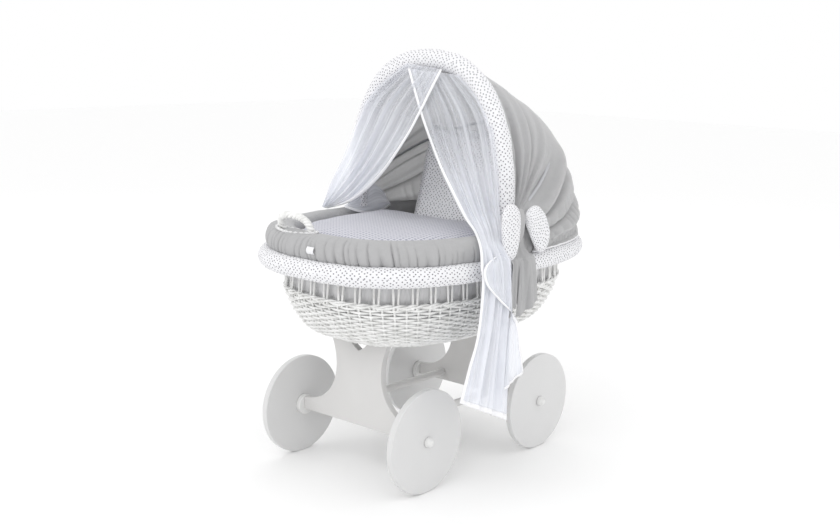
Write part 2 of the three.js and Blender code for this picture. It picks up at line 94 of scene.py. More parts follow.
def mappedGrid(name, counts, pointAt, material, cloth=(1.0, 1.0), joined=False):
    # a flat grid bent to pointAt(u, v); its UVs are the flat cloth in metres
    bm = bmesh.new()
    bmesh.ops.create_grid(bm, x_segments=counts[0], y_segments=counts[1], size=0.5, calc_uvs=True)
    uvLayer = bm.loops.layers.uv.verify()
    for face in bm.faces:
        for loop in face.loops:
            co = loop.vert.co
            loop[uvLayer].uv = ((co.x + 0.5) * cloth[0], (co.y + 0.5) * cloth[1])
    for vert in bm.verts:
        vert.co = pointAt(vert.co.x + 0.5, vert.co.y + 0.5)
    if joined:
        bmesh.ops.remove_doubles(bm, verts=bm.verts, dist=1e-6)
    bmesh.ops.recalc_face_normals(bm, faces=bm.faces)
    return objectFrom(bm, name, material)


def rods(name, paths, radius, material, cyclic=False, roundness=1):
    # round bars along lists of points, as one mesh
    curve = bpy.data.curves.new(name, "CURVE")
    curve.dimensions = "3D"
    curve.bevel_depth = radius
    curve.bevel_resolution = roundness
    curve.use_fill_caps = not cyclic
    for path in paths:
        spline = curve.splines.new("POLY")
        spline.points.add(len(path) - 1)
        for point, place in zip(spline.points, path):
            point.co = (*place, 1)
        spline.use_cyclic_u = cyclic
    holder = bpy.data.objects.new(name + "Curve", curve)
    mesh = bpy.data.meshes.new_from_object(holder)
    bpy.data.objects.remove(holder)
    mesh.name = name
    mesh.shade_smooth()
    mesh.materials.clear()
    mesh.materials.append(material)
    piece = bpy.data.objects.new(name, mesh)
    bpy.context.scene.collection.objects.link(piece)
    return piece


def spun(name, profile, centre, material, steps=96):
    # a round piece about an axle along Y; profile is (radius, y) in mm from the centre
    bm = bmesh.new()
    verts = [bm.verts.new((r * mm, y * mm, 0)) for r, y in profile]
    edges = [bm.edges.new(pair) for pair in zip(verts, verts[1:])]
    bmesh.ops.spin(bm, geom=verts + edges, cent=(0, 0, 0), axis=(0, 1, 0), angle=math.tau,
                   steps=steps, use_merge=True)
    bmesh.ops.remove_doubles(bm, verts=bm.verts, dist=1e-6)
    bmesh.ops.recalc_face_normals(bm, faces=bm.faces)
    bmesh.ops.translate(bm, verts=bm.verts, vec=centre)
    return objectFrom(bm, name, material)


def modifier(piece, kind, **settings):
    made = piece.modifiers.new(kind.title(), kind)
    for name, value in settings.items():
        setattr(made, name, value)
    return made


def applied(piece):
    # the modifiers' result becomes the piece's mesh
    evaluated = piece.evaluated_get(bpy.context.evaluated_depsgraph_get())
    mesh = bpy.data.meshes.new_from_object(evaluated)
    piece.modifiers.clear()
    piece.data = mesh
    return piece


def wave(x, *phases):
    # a smooth uneven wave, about -1 to 1
    a, b, c = (phases + (0.0, 1.3, 2.1))[:3]
    return (math.sin(x + a) + 0.6 * math.sin(1.73 * x + b) + 0.4 * math.sin(2.61 * x + c)) / 1.6


def gathers(x, sharpness=3.0):
    # narrow creases between soft puffs, 0 down to -1, unevenly spaced
    uneven = x + 0.9 * math.sin(0.37 * x) + 0.5 * math.sin(0.83 * x + 1.0)
    return -(1 - abs(math.sin(uneven))) ** sharpness


def mix(a, b, t):
    return a + (b - a) * t


def ramp(t):
    t = min(max(t, 0.0), 1.0)
    return t * t * (3 - 2 * t)


def throughPoints(points, t):
    # a smooth line through the points, t from 0 to 1
    count = len(points) - 1
    place = min(max(t, 0.0), 1.0) * count
    i = min(int(place), count - 1)
    f = place - i
    p0, p1, p2, p3 = (Vector(points[min(max(k, 0), count)]) for k in (i - 1, i, i + 1, i + 2))
    return 0.5 * (2 * p1 + (p2 - p0) * f + (2 * p0 - 5 * p1 + 4 * p2 - p3) * f * f
                  + (3 * p1 - p0 - 3 * p2 + p3) * f ** 3)


def bumpFrom(tree, shader, height, distance, strength=1.0):
    bump = addNode(tree, "ShaderNodeBump", {"Strength": strength, "Distance": distance},
                   {"Height": height})
    tree.links.new(bump.outputs[0], shader.inputs["Normal"])
    return bump


def lacquerMaterial(name, hexColour, roughness):
    # sprayed satin lacquer on board: a soft sheen with a faint orange peel
    material, tree, shader = startMaterial(name, {
        "Base Color": linear(hexColour), "Roughness": roughness, "Coat Weight": 0.15, "Coat Roughness": 0.25})
    place = addNode(tree, "ShaderNodeTexCoord")
    peel = addNode(tree, "ShaderNodeTexNoise", {"Scale": 450.0, "Detail": 3.0},
                   {"Vector": place.outputs["Object"]})
    cloud = addNode(tree, "ShaderNodeTexNoise", {"Scale": 9.0, "Detail": 4.0},
                    {"Vector": place.outputs["Object"]})
    tone = addNode(tree, "ShaderNodeMix", {"data_type": "RGBA"}, {0: cloud.outputs["Fac"]})
    tone.inputs[6].default_value = linear(hexColour)
    tone.inputs[7].default_value = [c * 0.96 for c in linear(hexColour)[:3]] + [1.0]
    tree.links.new(tone.outputs[2], shader.inputs["Base Color"])
    bumpFrom(tree, shader, peel.outputs["Fac"], 0.00012, 0.5)
    return material


def willowMaterial():
    # peeled willow under white paint: streaks run along the rod, thin paint shows warmer in places
    material, tree, shader = startMaterial("paintedWillow", {"Roughness": 0.45, "Coat Weight": 0.1})
    place = addNode(tree, "ShaderNodeTexCoord")
    cloud = addNode(tree, "ShaderNodeTexNoise", {"Scale": 38.0, "Detail": 5.0, "Roughness": 0.6},
                    {"Vector": place.outputs["Object"]})
    tone = addNode(tree, "ShaderNodeValToRGB", links={"Fac": cloud.outputs["Fac"]})
    tone.color_ramp.elements[0].position = 0.3
    tone.color_ramp.elements[0].color = linear("#DBDBD9")
    tone.color_ramp.elements[1].position = 0.55
    tone.color_ramp.elements[1].color = linear("#F3F3F2")
    tree.links.new(tone.outputs[0], shader.inputs["Base Color"])
    streaks = addNode(tree, "ShaderNodeTexNoise", {"Scale": 600.0, "Detail": 2.0},
                      {"Vector": place.outputs["Object"]})
    bumpFrom(tree, shader, streaks.outputs["Fac"], 0.0003, 0.6)
    return material


def plainWeave(tree, spacing):
    # height of a plain weave on the flat cloth: warp and weft threads take turns on top
    place = addNode(tree, "ShaderNodeTexCoord")
    checks = addNode(tree, "ShaderNodeTexChecker", {"Scale": 1 / spacing}, {"Vector": place.outputs["UV"]})
    warp = addNode(tree, "ShaderNodeTexWave", {"bands_direction": "X", "Scale": 0.5 / spacing},
                   {"Vector": place.outputs["UV"]})
    weft = addNode(tree, "ShaderNodeTexWave", {"bands_direction": "Y", "Scale": 0.5 / spacing},
                   {"Vector": place.outputs["UV"]})
    height = addNode(tree, "ShaderNodeMix", {"data_type": "FLOAT"}, {
        0: checks.outputs["Fac"], 2: warp.outputs["Fac"], 3: weft.outputs["Fac"]})
    return place, height


def cottonMaterial(name, hexColour, shadeHex, spacing=0.0009, dots=None, letsThrough=0.0):
    # washed cotton: matt with a soft sheen; threads are drawn two or three times their size so that they show
    material, tree, shader = startMaterial(name, {
        "Roughness": 0.88, "Sheen Weight": 0.2, "Sheen Roughness": 0.5, "Specular IOR Level": 0.2,
        "Subsurface Weight": letsThrough, "Subsurface Radius": (1.0, 1.0, 1.0), "Subsurface Scale": 0.008})
    place, height = plainWeave(tree, spacing)
    slub = addNode(tree, "ShaderNodeTexNoise", {"Scale": 55.0, "Detail": 6.0, "Roughness": 0.65},
                   {"Vector": place.outputs["Object"]})
    tone = addNode(tree, "ShaderNodeMix", {"data_type": "RGBA"}, {0: slub.outputs["Fac"]})
    tone.inputs[6].default_value = linear(shadeHex)
    tone.inputs[7].default_value = linear(hexColour)
    colour = tone.outputs[2]
    if dots:
        rotated = addNode(tree, "ShaderNodeMapping", {"Rotation": (0, 0, math.pi / 4)},
                          {"Vector": place.outputs["UV"]})
        cells = addNode(tree, "ShaderNodeTexVoronoi", {
            "voronoi_dimensions": "2D", "Scale": 1 / dots["spacing"], "Randomness": dots["scatter"]},
            {"Vector": rotated.outputs[0]})
        edge = dots["diameter"] / 2 / dots["spacing"]
        mask = addNode(tree, "ShaderNodeMapRange", {
            "From Min": edge * 0.85, "From Max": edge * 1.15, "To Min": 1.0, "To Max": 0.0},
            {"Value": cells.outputs["Distance"]})
        printed = addNode(tree, "ShaderNodeMix", {"data_type": "RGBA"},
                          {0: mask.outputs[0], 6: colour})
        printed.inputs[7].default_value = linear(dots["colour"])
        colour = printed.outputs[2]
    tree.links.new(colour, shader.inputs["Base Color"])
    bumpFrom(tree, shader, height.outputs[0], 0.00025, 0.35)
    return material


def waffleMaterial(ribSpacing):
    # brushed grey-lilac cotton with a fine waffle: crossing ribs stand up round small wells, and the wells
    # are painted darker as painted shade
    material, tree, shader = startMaterial("waffleCotton", {
        "Roughness": 0.9, "Sheen Weight": 0.3, "Specular IOR Level": 0.2})
    place = addNode(tree, "ShaderNodeTexCoord")
    cells = addNode(tree, "ShaderNodeTexVoronoi", {
        "voronoi_dimensions": "2D", "distance": "CHEBYCHEV", "Scale": 1 / ribSpacing, "Randomness": 0.0},
        {"Vector": place.outputs["Object"]})
    # painted shade: the colour goes dark in the middle of each well and pale on the ribs
    tone = addNode(tree, "ShaderNodeValToRGB", links={"Fac": cells.outputs["Distance"]})
    tone.color_ramp.elements[0].position = 0.2
    tone.color_ramp.elements[0].color = linear("#A3A4B2")
    tone.color_ramp.elements[1].position = 0.5
    tone.color_ramp.elements[1].color = linear("#E2E2E8")
    tree.links.new(tone.outputs[0], shader.inputs["Base Color"])
    bumpFrom(tree, shader, cells.outputs["Distance"], 0.0030, 0.8)
    return material


def tulleMaterial(name, thin, dense, start, end):
    # fine bobbinet tulle: mostly holes, so it veils what is behind; it covers more down the cloth, from start
    # to end in metres, where it is gathered, and in long streaks where it folds on itself
    material, tree, shader = startMaterial(name, {
        "Base Color": linear("#F7F9FF"), "Roughness": 0.75, "Sheen Weight": 0.1, "Specular IOR Level": 0.1})
    place = addNode(tree, "ShaderNodeTexCoord")
    split = addNode(tree, "ShaderNodeSeparateXYZ", links={"Vector": place.outputs["UV"]})
    gathered = addNode(tree, "ShaderNodeMapRange", {
        "From Min": start, "From Max": end, "To Min": thin, "To Max": dense}, {"Value": split.outputs["Y"]})
    # a streak for about every 30 mm of the cloth's width
    stretched = addNode(tree, "ShaderNodeMapping", {"Scale": (34.0, 1.6, 1.0)},
                        {"Vector": place.outputs["UV"]})
    streaks = addNode(tree, "ShaderNodeTexNoise", {"Scale": 1.0, "Detail": 2.0},
                      {"Vector": stretched.outputs[0]})
    folded = addNode(tree, "ShaderNodeMapRange", {
        "From Min": 0.42, "From Max": 0.72, "To Min": 0.0, "To Max": 0.26}, {"Value": streaks.outputs["Fac"]})
    cover = addNode(tree, "ShaderNodeMath", {"operation": "ADD"},
                    {0: gathered.outputs[0], 1: folded.outputs[0]})
    tree.links.new(cover.outputs[0], shader.inputs["Alpha"])
    return material


def satinMaterial():
    # woven polyester satin ribbon: smooth floats with a silky highlight
    material, tree, shader = startMaterial("satinRibbon", {
        "Base Color": linear("#FAFAFC"), "Roughness": 0.38, "Sheen Weight": 0.5, "Specular IOR Level": 0.5})
    place = addNode(tree, "ShaderNodeTexCoord")
    floats = addNode(tree, "ShaderNodeTexNoise", {"Scale": 900.0, "Detail": 1.0},
                     {"Vector": place.outputs["Object"]})
    bumpFrom(tree, shader, floats.outputs["Fac"], 0.00012, 0.4)
    return material


def laceMaterial():
    # eyelet lace: white cotton with rows of small stitched holes
    material, tree, shader = startMaterial("eyeletLace", {
        "Base Color": linear("#F8F8F8"), "Roughness": 0.85, "Sheen Weight": 0.3})
    place = addNode(tree, "ShaderNodeTexCoord")
    holes = addNode(tree, "ShaderNodeTexVoronoi", {
        "voronoi_dimensions": "2D", "Scale": 1 / 0.005, "Randomness": 0.0}, {"Vector": place.outputs["UV"]})
    tone = addNode(tree, "ShaderNodeValToRGB", links={"Fac": holes.outputs["Distance"]})
    tone.color_ramp.elements[0].position = 0.22
    tone.color_ramp.elements[0].color = linear("#9A9AA0")
    tone.color_ramp.elements[1].position = 0.3
    tone.color_ramp.elements[1].color = linear("#F8F8F8")
    tree.links.new(tone.outputs[0], shader.inputs["Base Color"])
    bumpFrom(tree, shader, holes.outputs["Distance"], 0.0006, 0.8)
    return material


def zincMaterial():
    # bright zinc plate on steel: a crystalline, slightly mottled gloss
    material, tree, shader = startMaterial("zincPlate", {"Base Color": linear("#C4C5C9"), "Metallic": 1.0,
                                                         "Roughness": 0.32})
    place = addNode(tree, "ShaderNodeTexCoord")
    spangle = addNode(tree, "ShaderNodeTexNoise", {"Scale": 180.0, "Detail": 4.0},
                      {"Vector": place.outputs["Object"]})
    rough = addNode(tree, "ShaderNodeMapRange", {"To Min": 0.25, "To Max": 0.42},
                    {"Value": spangle.outputs["Fac"]})
    tree.links.new(rough.outputs[0], shader.inputs["Roughness"])
    return material


dotPrint = {"spacing": 0.0080, "diameter": 0.0030, "scatter": 0.42, "colour": "#5C5C63"}
boardLacquer = lacquerMaterial("satinLacquerBoard", "#D8D7D6", 0.38)
wheelLacquer = lacquerMaterial("satinLacquerWheel", "#DADADA", 0.34)
fittingWhite = lacquerMaterial("mouldedWhiteFitting", "#E6E6E5", 0.28)
willow = willowMaterial()
greyCotton = cottonMaterial("greyCottonPoplin", "#B7B7B8", "#ABABAC")
canopyCotton = cottonMaterial("greyCanopyCotton", "#B3B3B4", "#A8A8A9", letsThrough=0.8)
# painted light: the same grey cotton as the ring, painted much paler so that the band between the stakes,
# which lies in shade, comes out lighter
paintedLightLiningCotton = cottonMaterial("greyLiningCottonPaintedLighter", "#E9E9EA", "#E0E0E2", letsThrough=0.3)
dottedCotton = cottonMaterial("dottedCotton", "#F1F1F3", "#EAEAED", dots=dotPrint)
whiteCotton = cottonMaterial("whiteCottonTape", "#F6F6F8", "#EEEEF1")
waffleCotton = waffleMaterial(0.0098)
nearTulle = tulleMaterial("softTulleNear", 0.19, 0.52, 0.20, 0.58)
farTulle = tulleMaterial("softTulleFar", 0.19, 0.52, 0.08, 0.42)
gatheredTulle = tulleMaterial("softTulleGathered", 0.42, 0.5, 0.0, 0.3)
satin = satinMaterial()
lace = laceMaterial()
zinc = zincMaterial()
print("materials ready")

cameraSet = {"place": (-2.2408, -1.9146, 1.0571), "azimuth": -49.18, "elevation": 10.876, "roll": 1.249,
             "lens": 50.64, "sensor": 36.0}


def buildCamera(settings):
    azimuth, elevation, roll = (math.radians(settings[k]) for k in ("azimuth", "elevation", "roll"))
    ahead = Vector((-math.sin(azimuth) * math.cos(elevation), math.cos(azimuth) * math.cos(elevation),
                    -math.sin(elevation)))
    right = Vector((math.cos(azimuth), math.sin(azimuth), 0))
    up = right.cross(ahead)
    rolledRight = right * math.cos(roll) + up * math.sin(roll)
    rolledUp = up * math.cos(roll) - right * math.sin(roll)
    data = bpy.data.cameras.new("camera")
    data.lens, data.sensor_width = settings["lens"], settings["sensor"]
    camera = bpy.data.objects.new("camera", data)
    turn = Matrix((rolledRight, rolledUp, -ahead)).transposed().to_4x4()
    camera.matrix_world = Matrix.Translation(settings["place"]) @ turn
    bpy.context.scene.collection.objects.link(camera)
    bpy.context.scene.camera = camera


lightSet = [
    {"name": "keyLight", "place": (-2.6, -0.6, 3.0), "size": 2.2, "power": 24, "aim": (0, 0, 0.5)},
    {"name": "fillLight", "place": (0.8, -3.4, 1.8), "size": 3.0, "power": 5, "aim": (0, 0, 0.5)},
    {"name": "rimLight", "place": (2.2, 2.6, 2.8), "size": 2.5, "power": 8, "aim": (0, 0, 0.6)},
]


def buildStudio():
    for settings in lightSet:
        data = bpy.data.lights.new(settings["name"], "AREA")
        data.size, data.energy = settings["size"], settings["power"]
        lamp = bpy.data.objects.new(settings["name"], data)
        away = Vector(settings["place"]) - Vector(settings["aim"])
        turn = away.to_track_quat("Z", "Y").to_matrix().to_4x4()
        lamp.matrix_world = Matrix.Translation(settings["place"]) @ turn
        bpy.context.scene.collection.objects.link(lamp)
    world = bpy.data.worlds.new("softRoom")
    bpy.context.scene.world = world
    world.use_nodes = True
    sky = world.node_tree.nodes["Background"]
    sky.inputs[0].default_value = linear("#FFFFFF")
    sky.inputs[1].default_value = 1.0
    paper = startMaterial("paleFloor", {"Base Color": linear("#FDFDFD"), "Roughness": 0.9})[0]
    bm = bmesh.new()
    bmesh.ops.create_grid(bm, x_segments=1, y_segments=1, size=12)
    floor = objectFrom(bm, "floor", paper, smooth=False)
    bpy.context.scene.view_settings.view_transform = "Standard"


buildCamera(cameraSet)
buildStudio()
print("camera and studio ready")

# one half of a panel's outline, in mm from its middle and from the floor
panelSet = {"bottom": 117.0, "top": 339.7, "armEnd": 188.0, "armTop": 148.0,
            "waistY": 75.0, "waistZ": 257.0, "topHalf": 97.0, "notch": 30.0, "heartTip": 305.0, "edge": 1.6}


def bezier(p0, p1, p2, p3, steps):
    points = []
    for i in range(1, steps + 1):
        t = i / steps
        points.append(tuple((1 - t) ** 3 * a + 3 * t * (1 - t) ** 2 * b + 3 * t * t * (1 - t) * c + t ** 3 * d
                            for a, b, c, d in zip(p0, p1, p2, p3)))
    return points


def panelOutline(s):
    half = [(0, s["bottom"]), (s["armEnd"], s["bottom"]), (s["armEnd"], s["armTop"])]
    waist = (s["waistY"], s["waistZ"])
    top = (s["topHalf"], s["top"])
    half += bezier(half[-1], (120, 150), (s["waistY"], 195), waist, 20)
    half += bezier(waist, (s["waistY"], 290), (86, 318), top, 12)
    half += [(s["notch"], s["top"])]
    half += bezier(half[-1], (s["notch"] + 4, 322), (12, 312), (0, s["heartTip"]), 10)
    return half + [(-y, z) for y, z in reversed(half[1:-1])]


def buildPanel(name, node):
    low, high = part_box(node)
    bm = bmesh.new()
    verts = [bm.verts.new((low.x, y * mm, z * mm)) for y, z in panelOutline(panelSet)]
    face = bm.faces.new(verts)
    sides = bmesh.ops.extrude_face_region(bm, geom=[face])
    moved = [g for g in sides["geom"] if isinstance(g, bmesh.types.BMVert)]
    bmesh.ops.translate(bm, verts=moved, vec=(high.x - low.x, 0, 0))
    bmesh.ops.recalc_face_normals(bm, faces=bm.faces)
    rims = [e for e in bm.edges if abs(e.verts[0].co.x - e.verts[1].co.x) < 1e-6]
    bmesh.ops.bevel(bm, geom=rims, offset=panelSet["edge"] * mm, affect="EDGES", segments=3, profile=0.5,
                    material=-1)
    panel = objectFrom(bm, name, boardLacquer)
    sharpenFlats(panel)
    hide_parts(node)
    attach(panel, "stand")


def sharpenFlats(piece, angle=35):
    # keep the big flats flat while the softened edges shade smoothly
    with bpy.context.temp_override(object=piece, active_object=piece, selected_objects=[piece],
                                   selected_editable_objects=[piece]):
        bpy.ops.object.shade_smooth_by_angle(angle=math.radians(angle))


wheelSet = {"radius": 125.0, "half": 8.0, "edge": 2.2, "bore": 6.3, "spacerRadius": 25.0,
            "spacerEdge": 1.5}
# radius and distance from the foot of the axle cap's dome, in mm
capDome = [(6.3, 9), (6.3, 0), (11.4, 0), (12.3, 0.6), (12.5, 2), (12.2, 5), (11, 8.5), (9.2, 11),
           (8.4, 11.4), (8.2, 12.2), (6.5, 14), (3.5, 15.4), (0, 15.9)]


def roundedRing(inner, outer, half, edge):
    # a disc's cross-section with softened outer corners, from bore to bore
    corner = [(outer - edge + edge * math.sin(a), -half + edge - edge * math.cos(a))
              for a in [math.radians(15 * i) for i in range(7)]]
    mirrored = [(r, -y) for r, y in reversed(corner)]
    return [(inner, -half)] + corner + mirrored + [(inner, half), (inner, -half)]


def buildWheelSet(end, side, way):
    # a disc wheel, its spacer and its axle cap; way is -1 on the near side and 1 on the far side
    s = wheelSet
    tag = f"{end}_{side}"
    low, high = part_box(f"wheel_{tag}")
    centre = (low + high) / 2
    centre.z = s["radius"] * mm
    section = roundedRing(s["bore"], s["radius"], s["half"], s["edge"])
    wheel = spun(f"discWheel_{tag}", section, centre, wheelLacquer, 128)
    sharpenFlats(wheel)
    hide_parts(f"wheel_{tag}")
    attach(wheel, f"wheel_{tag}")
    low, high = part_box(f"wheel_spacer_{tag}")
    section = roundedRing(s["bore"], s["spacerRadius"], (high.y - low.y) / 2 / mm, s["spacerEdge"])
    spacer = spun(f"wheelSpacer_{tag}", section, (low + high) / 2, fittingWhite)
    sharpenFlats(spacer)
    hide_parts(f"wheel_spacer_{tag}")
    low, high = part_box(f"axle_cap_{tag}")
    foot = Vector(((low.x + high.x) / 2, high.y if way < 0 else low.y, (low.z + high.z) / 2))
    cap = spun(f"axleCap_{tag}", [(0, capDome[0][1])] + capDome, foot, fittingWhite, 48)
    if way < 0:
        bm = bmesh.new()
        bm.from_mesh(cap.data)
        bmesh.ops.translate(bm, verts=bm.verts, vec=-foot)
        bmesh.ops.rotate(bm, verts=bm.verts, matrix=Matrix.Rotation(math.pi, 3, "X"))
        bmesh.ops.translate(bm, verts=bm.verts, vec=foot)
        bm.to_mesh(cap.data)
        bm.free()
    sharpenFlats(cap, 50)
    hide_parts(f"axle_cap_{tag}")
    for piece in (spacer, cap):
        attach(piece, "stand")


def buildDowel(side):
    low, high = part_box(f"dowel_{side}")
    radius = (high.y - low.y) / 2
    bm = bmesh.new()
    bmesh.ops.create_cone(bm, cap_ends=True, cap_tris=False, segments=48, radius1=radius, radius2=radius,
                          depth=high.x - low.x)
    bmesh.ops.rotate(bm, verts=bm.verts, matrix=Matrix.Rotation(math.pi / 2, 3, "Y"))
    bmesh.ops.translate(bm, verts=bm.verts, vec=(low + high) / 2)
    dowel = objectFrom(bm, f"dowelRod_{side}", boardLacquer)
    sharpenFlats(dowel)
    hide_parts(f"dowel_{side}")
    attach(dowel, "stand")


def buildStand():
    buildPanel("footPanel", "foot_panel")
    buildPanel("headPanel", "head_panel")
    for side, way in (("near", -1), ("far", 1)):
        buildDowel(side)
        for end in ("foot", "head"):
            buildWheelSet(end, side, way)


buildStand()
print("stand built")

# the basket's plan is a rounded oval: 2 would be an ellipse, more is squarer
ovalPower = 2.6


def signedPower(value, exponent):
    return math.copysign(abs(value) ** exponent, value)


def loopPlace(angle, halfLength, halfWidth):
    return (halfLength * signedPower(math.cos(angle), 2 / ovalPower),
            halfWidth * signedPower(math.sin(angle), 2 / ovalPower))


def evenAngles(halfLength, halfWidth, samples=4000):
    # angle for each share of the loop's length, so that stakes stand evenly
    angles = [math.tau * i / samples for i in range(samples + 1)]
    places = [loopPlace(a, halfLength, halfWidth) for a in angles]
    lengths = [0.0]
    for p, q in zip(places, places[1:]):
        lengths.append(lengths[-1] + math.dist(p, q))
    return angles, lengths


loopAngles, loopLengths = evenAngles(384, 269)
loopLength = loopLengths[-1]


def loopAngle(share):
    target = (share % 1.0) * loopLength
    i = min(bisect.bisect_right(loopLengths, target), len(loopLengths) - 1)
    span = loopLengths[i] - loopLengths[i - 1]
    return mix(loopAngles[i - 1], loopAngles[i], (target - loopLengths[i - 1]) / span)


def onLoop(share, halfLength, halfWidth, z, out=0.0):
    # a point of an oval in metres; out pushes it square to the oval, all sizes in mm
    angle = loopAngle(share)
    x, y = loopPlace(angle, halfLength, halfWidth)
    nx = signedPower(math.cos(angle), 2 - 2 / ovalPower) / halfLength
    ny = signedPower(math.sin(angle), 2 - 2 / ovalPower) / halfWidth
    size = math.hypot(nx, ny)
    return Vector(((x + out * nx / size) * mm, (y + out * ny / size) * mm, z * mm))


wicker = {"stakes": 76, "rodRadius": 3.0, "rowPitch": 7.4, "inOut": 4.2, "pairs": 48, "stakeRadius": 2.9,
          "bandTop": 580.0, "pairSpread": 9.0, "borderRadius": 2.7, "borderTwist": 2.8}
# half length, half width, height and number of strands of each twisted border
borders = {"wovenTopBorder": (380, 265, 455, 2), "wovenFootBorder": (287, 186, 342, 3),
           "wickerRim": (373, 258, 582, 4)}
# half length, half width and height of the wall's middle, from the floor up
wallProfile = [(286, 185, 343), (312, 208, 350), (334, 226, 367), (352, 241, 392), (366, 254, 420),
               (378, 263, 452)]


def wallAt(t):
    return throughPoints(wallProfile, t)


def profileLength():
    return sum((wallAt((i + 1) / 60) - wallAt(i / 60)).length for i in range(60))


def buildWickerWall():
    rows = int(profileLength() / wicker["rowPitch"])
    perStake = 4
    count = wicker["stakes"] * perStake
    paths = []
    for row in range(rows):
        a, b, z = wallAt((row + 0.5) / rows)
        path = []
        for i in range(count):
            swing = math.cos(math.pi * i / perStake + math.pi * row)
            drift = 0.7 * noise.noise(Vector((i * 0.13, row * 3.7, 1.0)))
            path.append(onLoop(i / count, a, b, z + drift, wicker["inOut"] * swing))
        paths.append(path)
    wall = rods("wovenWall", paths, wicker["rodRadius"] * mm, willow, cyclic=True, roundness=1)
    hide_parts("wicker_wall")
    pieces = [wall, buildBorder("wovenTopBorder"), buildBorder("wovenFootBorder"), buildStakes(),
              buildBorder("wickerRim")]
    for piece in pieces:
        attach(piece, "basket")


def buildBorder(name):
    # rods twisted together round the basket
    a, b, z, strands = borders[name]
    turns = wicker["stakes"] // 2
    count = turns * 8
    paths = []
    for strand in range(strands):
        path = []
        for i in range(count):
            angle = math.tau * (i / 8 + strand / strands)
            path.append(onLoop(i / count, a, b, z + wicker["borderTwist"] * math.sin(angle),
                               wicker["borderTwist"] * math.cos(angle)))
        paths.append(path)
    return rods(name, paths, wicker["borderRadius"] * mm, willow, cyclic=True)


def buildStakes():
    # uprights through the weave, then pairs that open into a V under the rim
    paths = []
    count = wicker["stakes"]
    for i in range(count):
        share = i / count
        paths.append([onLoop(share, *wallAt(t / 8)) for t in range(9)])
    for pair in range(wicker["pairs"]):
        middle = (pair + 0.5) / wicker["pairs"]
        for s in (-1, 1):
            lean = 1.0 + 0.5 * noise.noise(Vector((pair * 1.7, s, 0)))
            bottom = middle + s * 0.0022
            top = middle + s * (0.0022 + wicker["pairSpread"] * 0.5 * lean / loopLength)
            paths.append([onLoop(mix(bottom, top, t / 6), mix(379, 373, t / 6), mix(264, 258, t / 6),
                                 mix(446, wicker["bandTop"], t / 6)) for t in range(7)])
    return rods("wickerStakes", paths, wicker["stakeRadius"] * mm, willow)


floorSet = {"rows": 22, "halfLength": 276.0, "halfWidth": 174.0, "z": 344.5, "inOut": 1.6, "ribPitch": 40.0,
            "ribReach": 172.0, "ribEnd": 6.6, "rodRadius": 2.6}


def buildWickerFloor():
    # rounds of willow woven over ribs that lie across the basket
    s = floorSet
    paths = []
    for row in range(s["rows"]):
        share = 1 - row / s["rows"]
        points = max(48, int(200 * share) // 4 * 4)
        paths.append([onLoop(i / points, s["halfLength"] * share, s["halfWidth"] * share,
                             s["z"] + s["inOut"] * math.cos(math.pi * i / 2 + math.pi * row))
                      for i in range(points)])
    for i in range(-6, 7):
        reach = s["ribReach"] * (1 - abs(i / s["ribEnd"]) ** ovalPower) ** (1 / ovalPower)
        paths.append([Vector((i * s["ribPitch"], y * reach, s["z"])) * mm for y in (-1, 1)])
    floor = rods("wovenFloor", paths, s["rodRadius"] * mm, willow, cyclic=True)
    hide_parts("wicker_floor")
    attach(floor, "basket")


handleSet = {"halfSpan": 50.0, "rootX": 370.0, "apexX": 393.0, "rootZ": 592.0, "apexZ": 642.0,
             "strandRadius": 4.3, "twist": 4.6, "turns": 6, "strands": 3}


def handlePoint(end, middleY, t):
    # an arch across the end of the basket, t from 0 to 1
    s = handleSet
    lift = math.sin(math.pi * t) ** 0.5
    y = middleY - s["halfSpan"] * mm * signedPower(math.cos(math.pi * t), 0.75)
    return Vector((end * mix(s["rootX"], s["apexX"], lift) * mm, y, mix(s["rootZ"], s["apexZ"], lift) * mm))


def buildHandle(name, end):
    # willow rods twisted into a grip; end is -1 at the foot and 1 at the head
    s = handleSet
    low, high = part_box(f"handle_{name}")
    middleY = (low.y + high.y) / 2
    count = 96
    paths = []
    for strand in range(s["strands"]):
        path = []
        for i in range(count + 1):
            t = i / count
            here = handlePoint(end, middleY, t)
            ahead, behind = (handlePoint(end, middleY, min(max(t + step, 0), 1)) for step in (0.01, -0.01))
            along = (ahead - behind).normalized()
            across = along.cross(Vector((end, 0, 0.35))).normalized()
            away = across.cross(along)
            angle = math.tau * (s["turns"] * t + strand / s["strands"])
            path.append(here + (across * math.cos(angle) + away * math.sin(angle)) * s["twist"] * mm)
        paths.append(path)
    handle = rods(f"twistedHandle_{name}", paths, s["strandRadius"] * mm, willow, roundness=2)
    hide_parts(f"handle_{name}")
    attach(handle, "basket")


buildWickerWall()
buildWickerFloor()
buildHandle("foot", -1)
buildHandle("head", 1)
print("wicker built")


rollSet = {"halfLength": 423.0, "halfWidth": 296.0, "z": 530.0, "radius": 23.5}


def buildPaddedRoll():
    s = rollSet
    around = 2 * math.pi * s["radius"]

    def place(u, v):
        angle = math.tau * v
        pucker = 0.9 * noise.noise(Vector((u * 190, math.cos(angle) * 1.2, math.sin(angle) * 1.2)))
        pucker += 1.3 * noise.noise(Vector((u * 45, math.cos(angle) * 0.8, math.sin(angle) * 0.8 + 5)))
        seam = -1.8 * math.exp(-((v - 0.62) / 0.012) ** 2)
        radius = s["radius"] + pucker + seam
        return onLoop(u, s["halfLength"], s["halfWidth"], s["z"] + radius * math.sin(angle),
                      radius * math.cos(angle))

    roll = mappedGrid("dottedRoll", (760, 28), place, dottedCotton, (2.29, around * mm), joined=True)
    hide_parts("padded_roll")
    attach(roll, "basket")


ringSet = {"halfLength": 373.0, "halfWidth": 258.0, "gathers": 370, "gatherDepth": 12.0, "footSwell": 7.0}
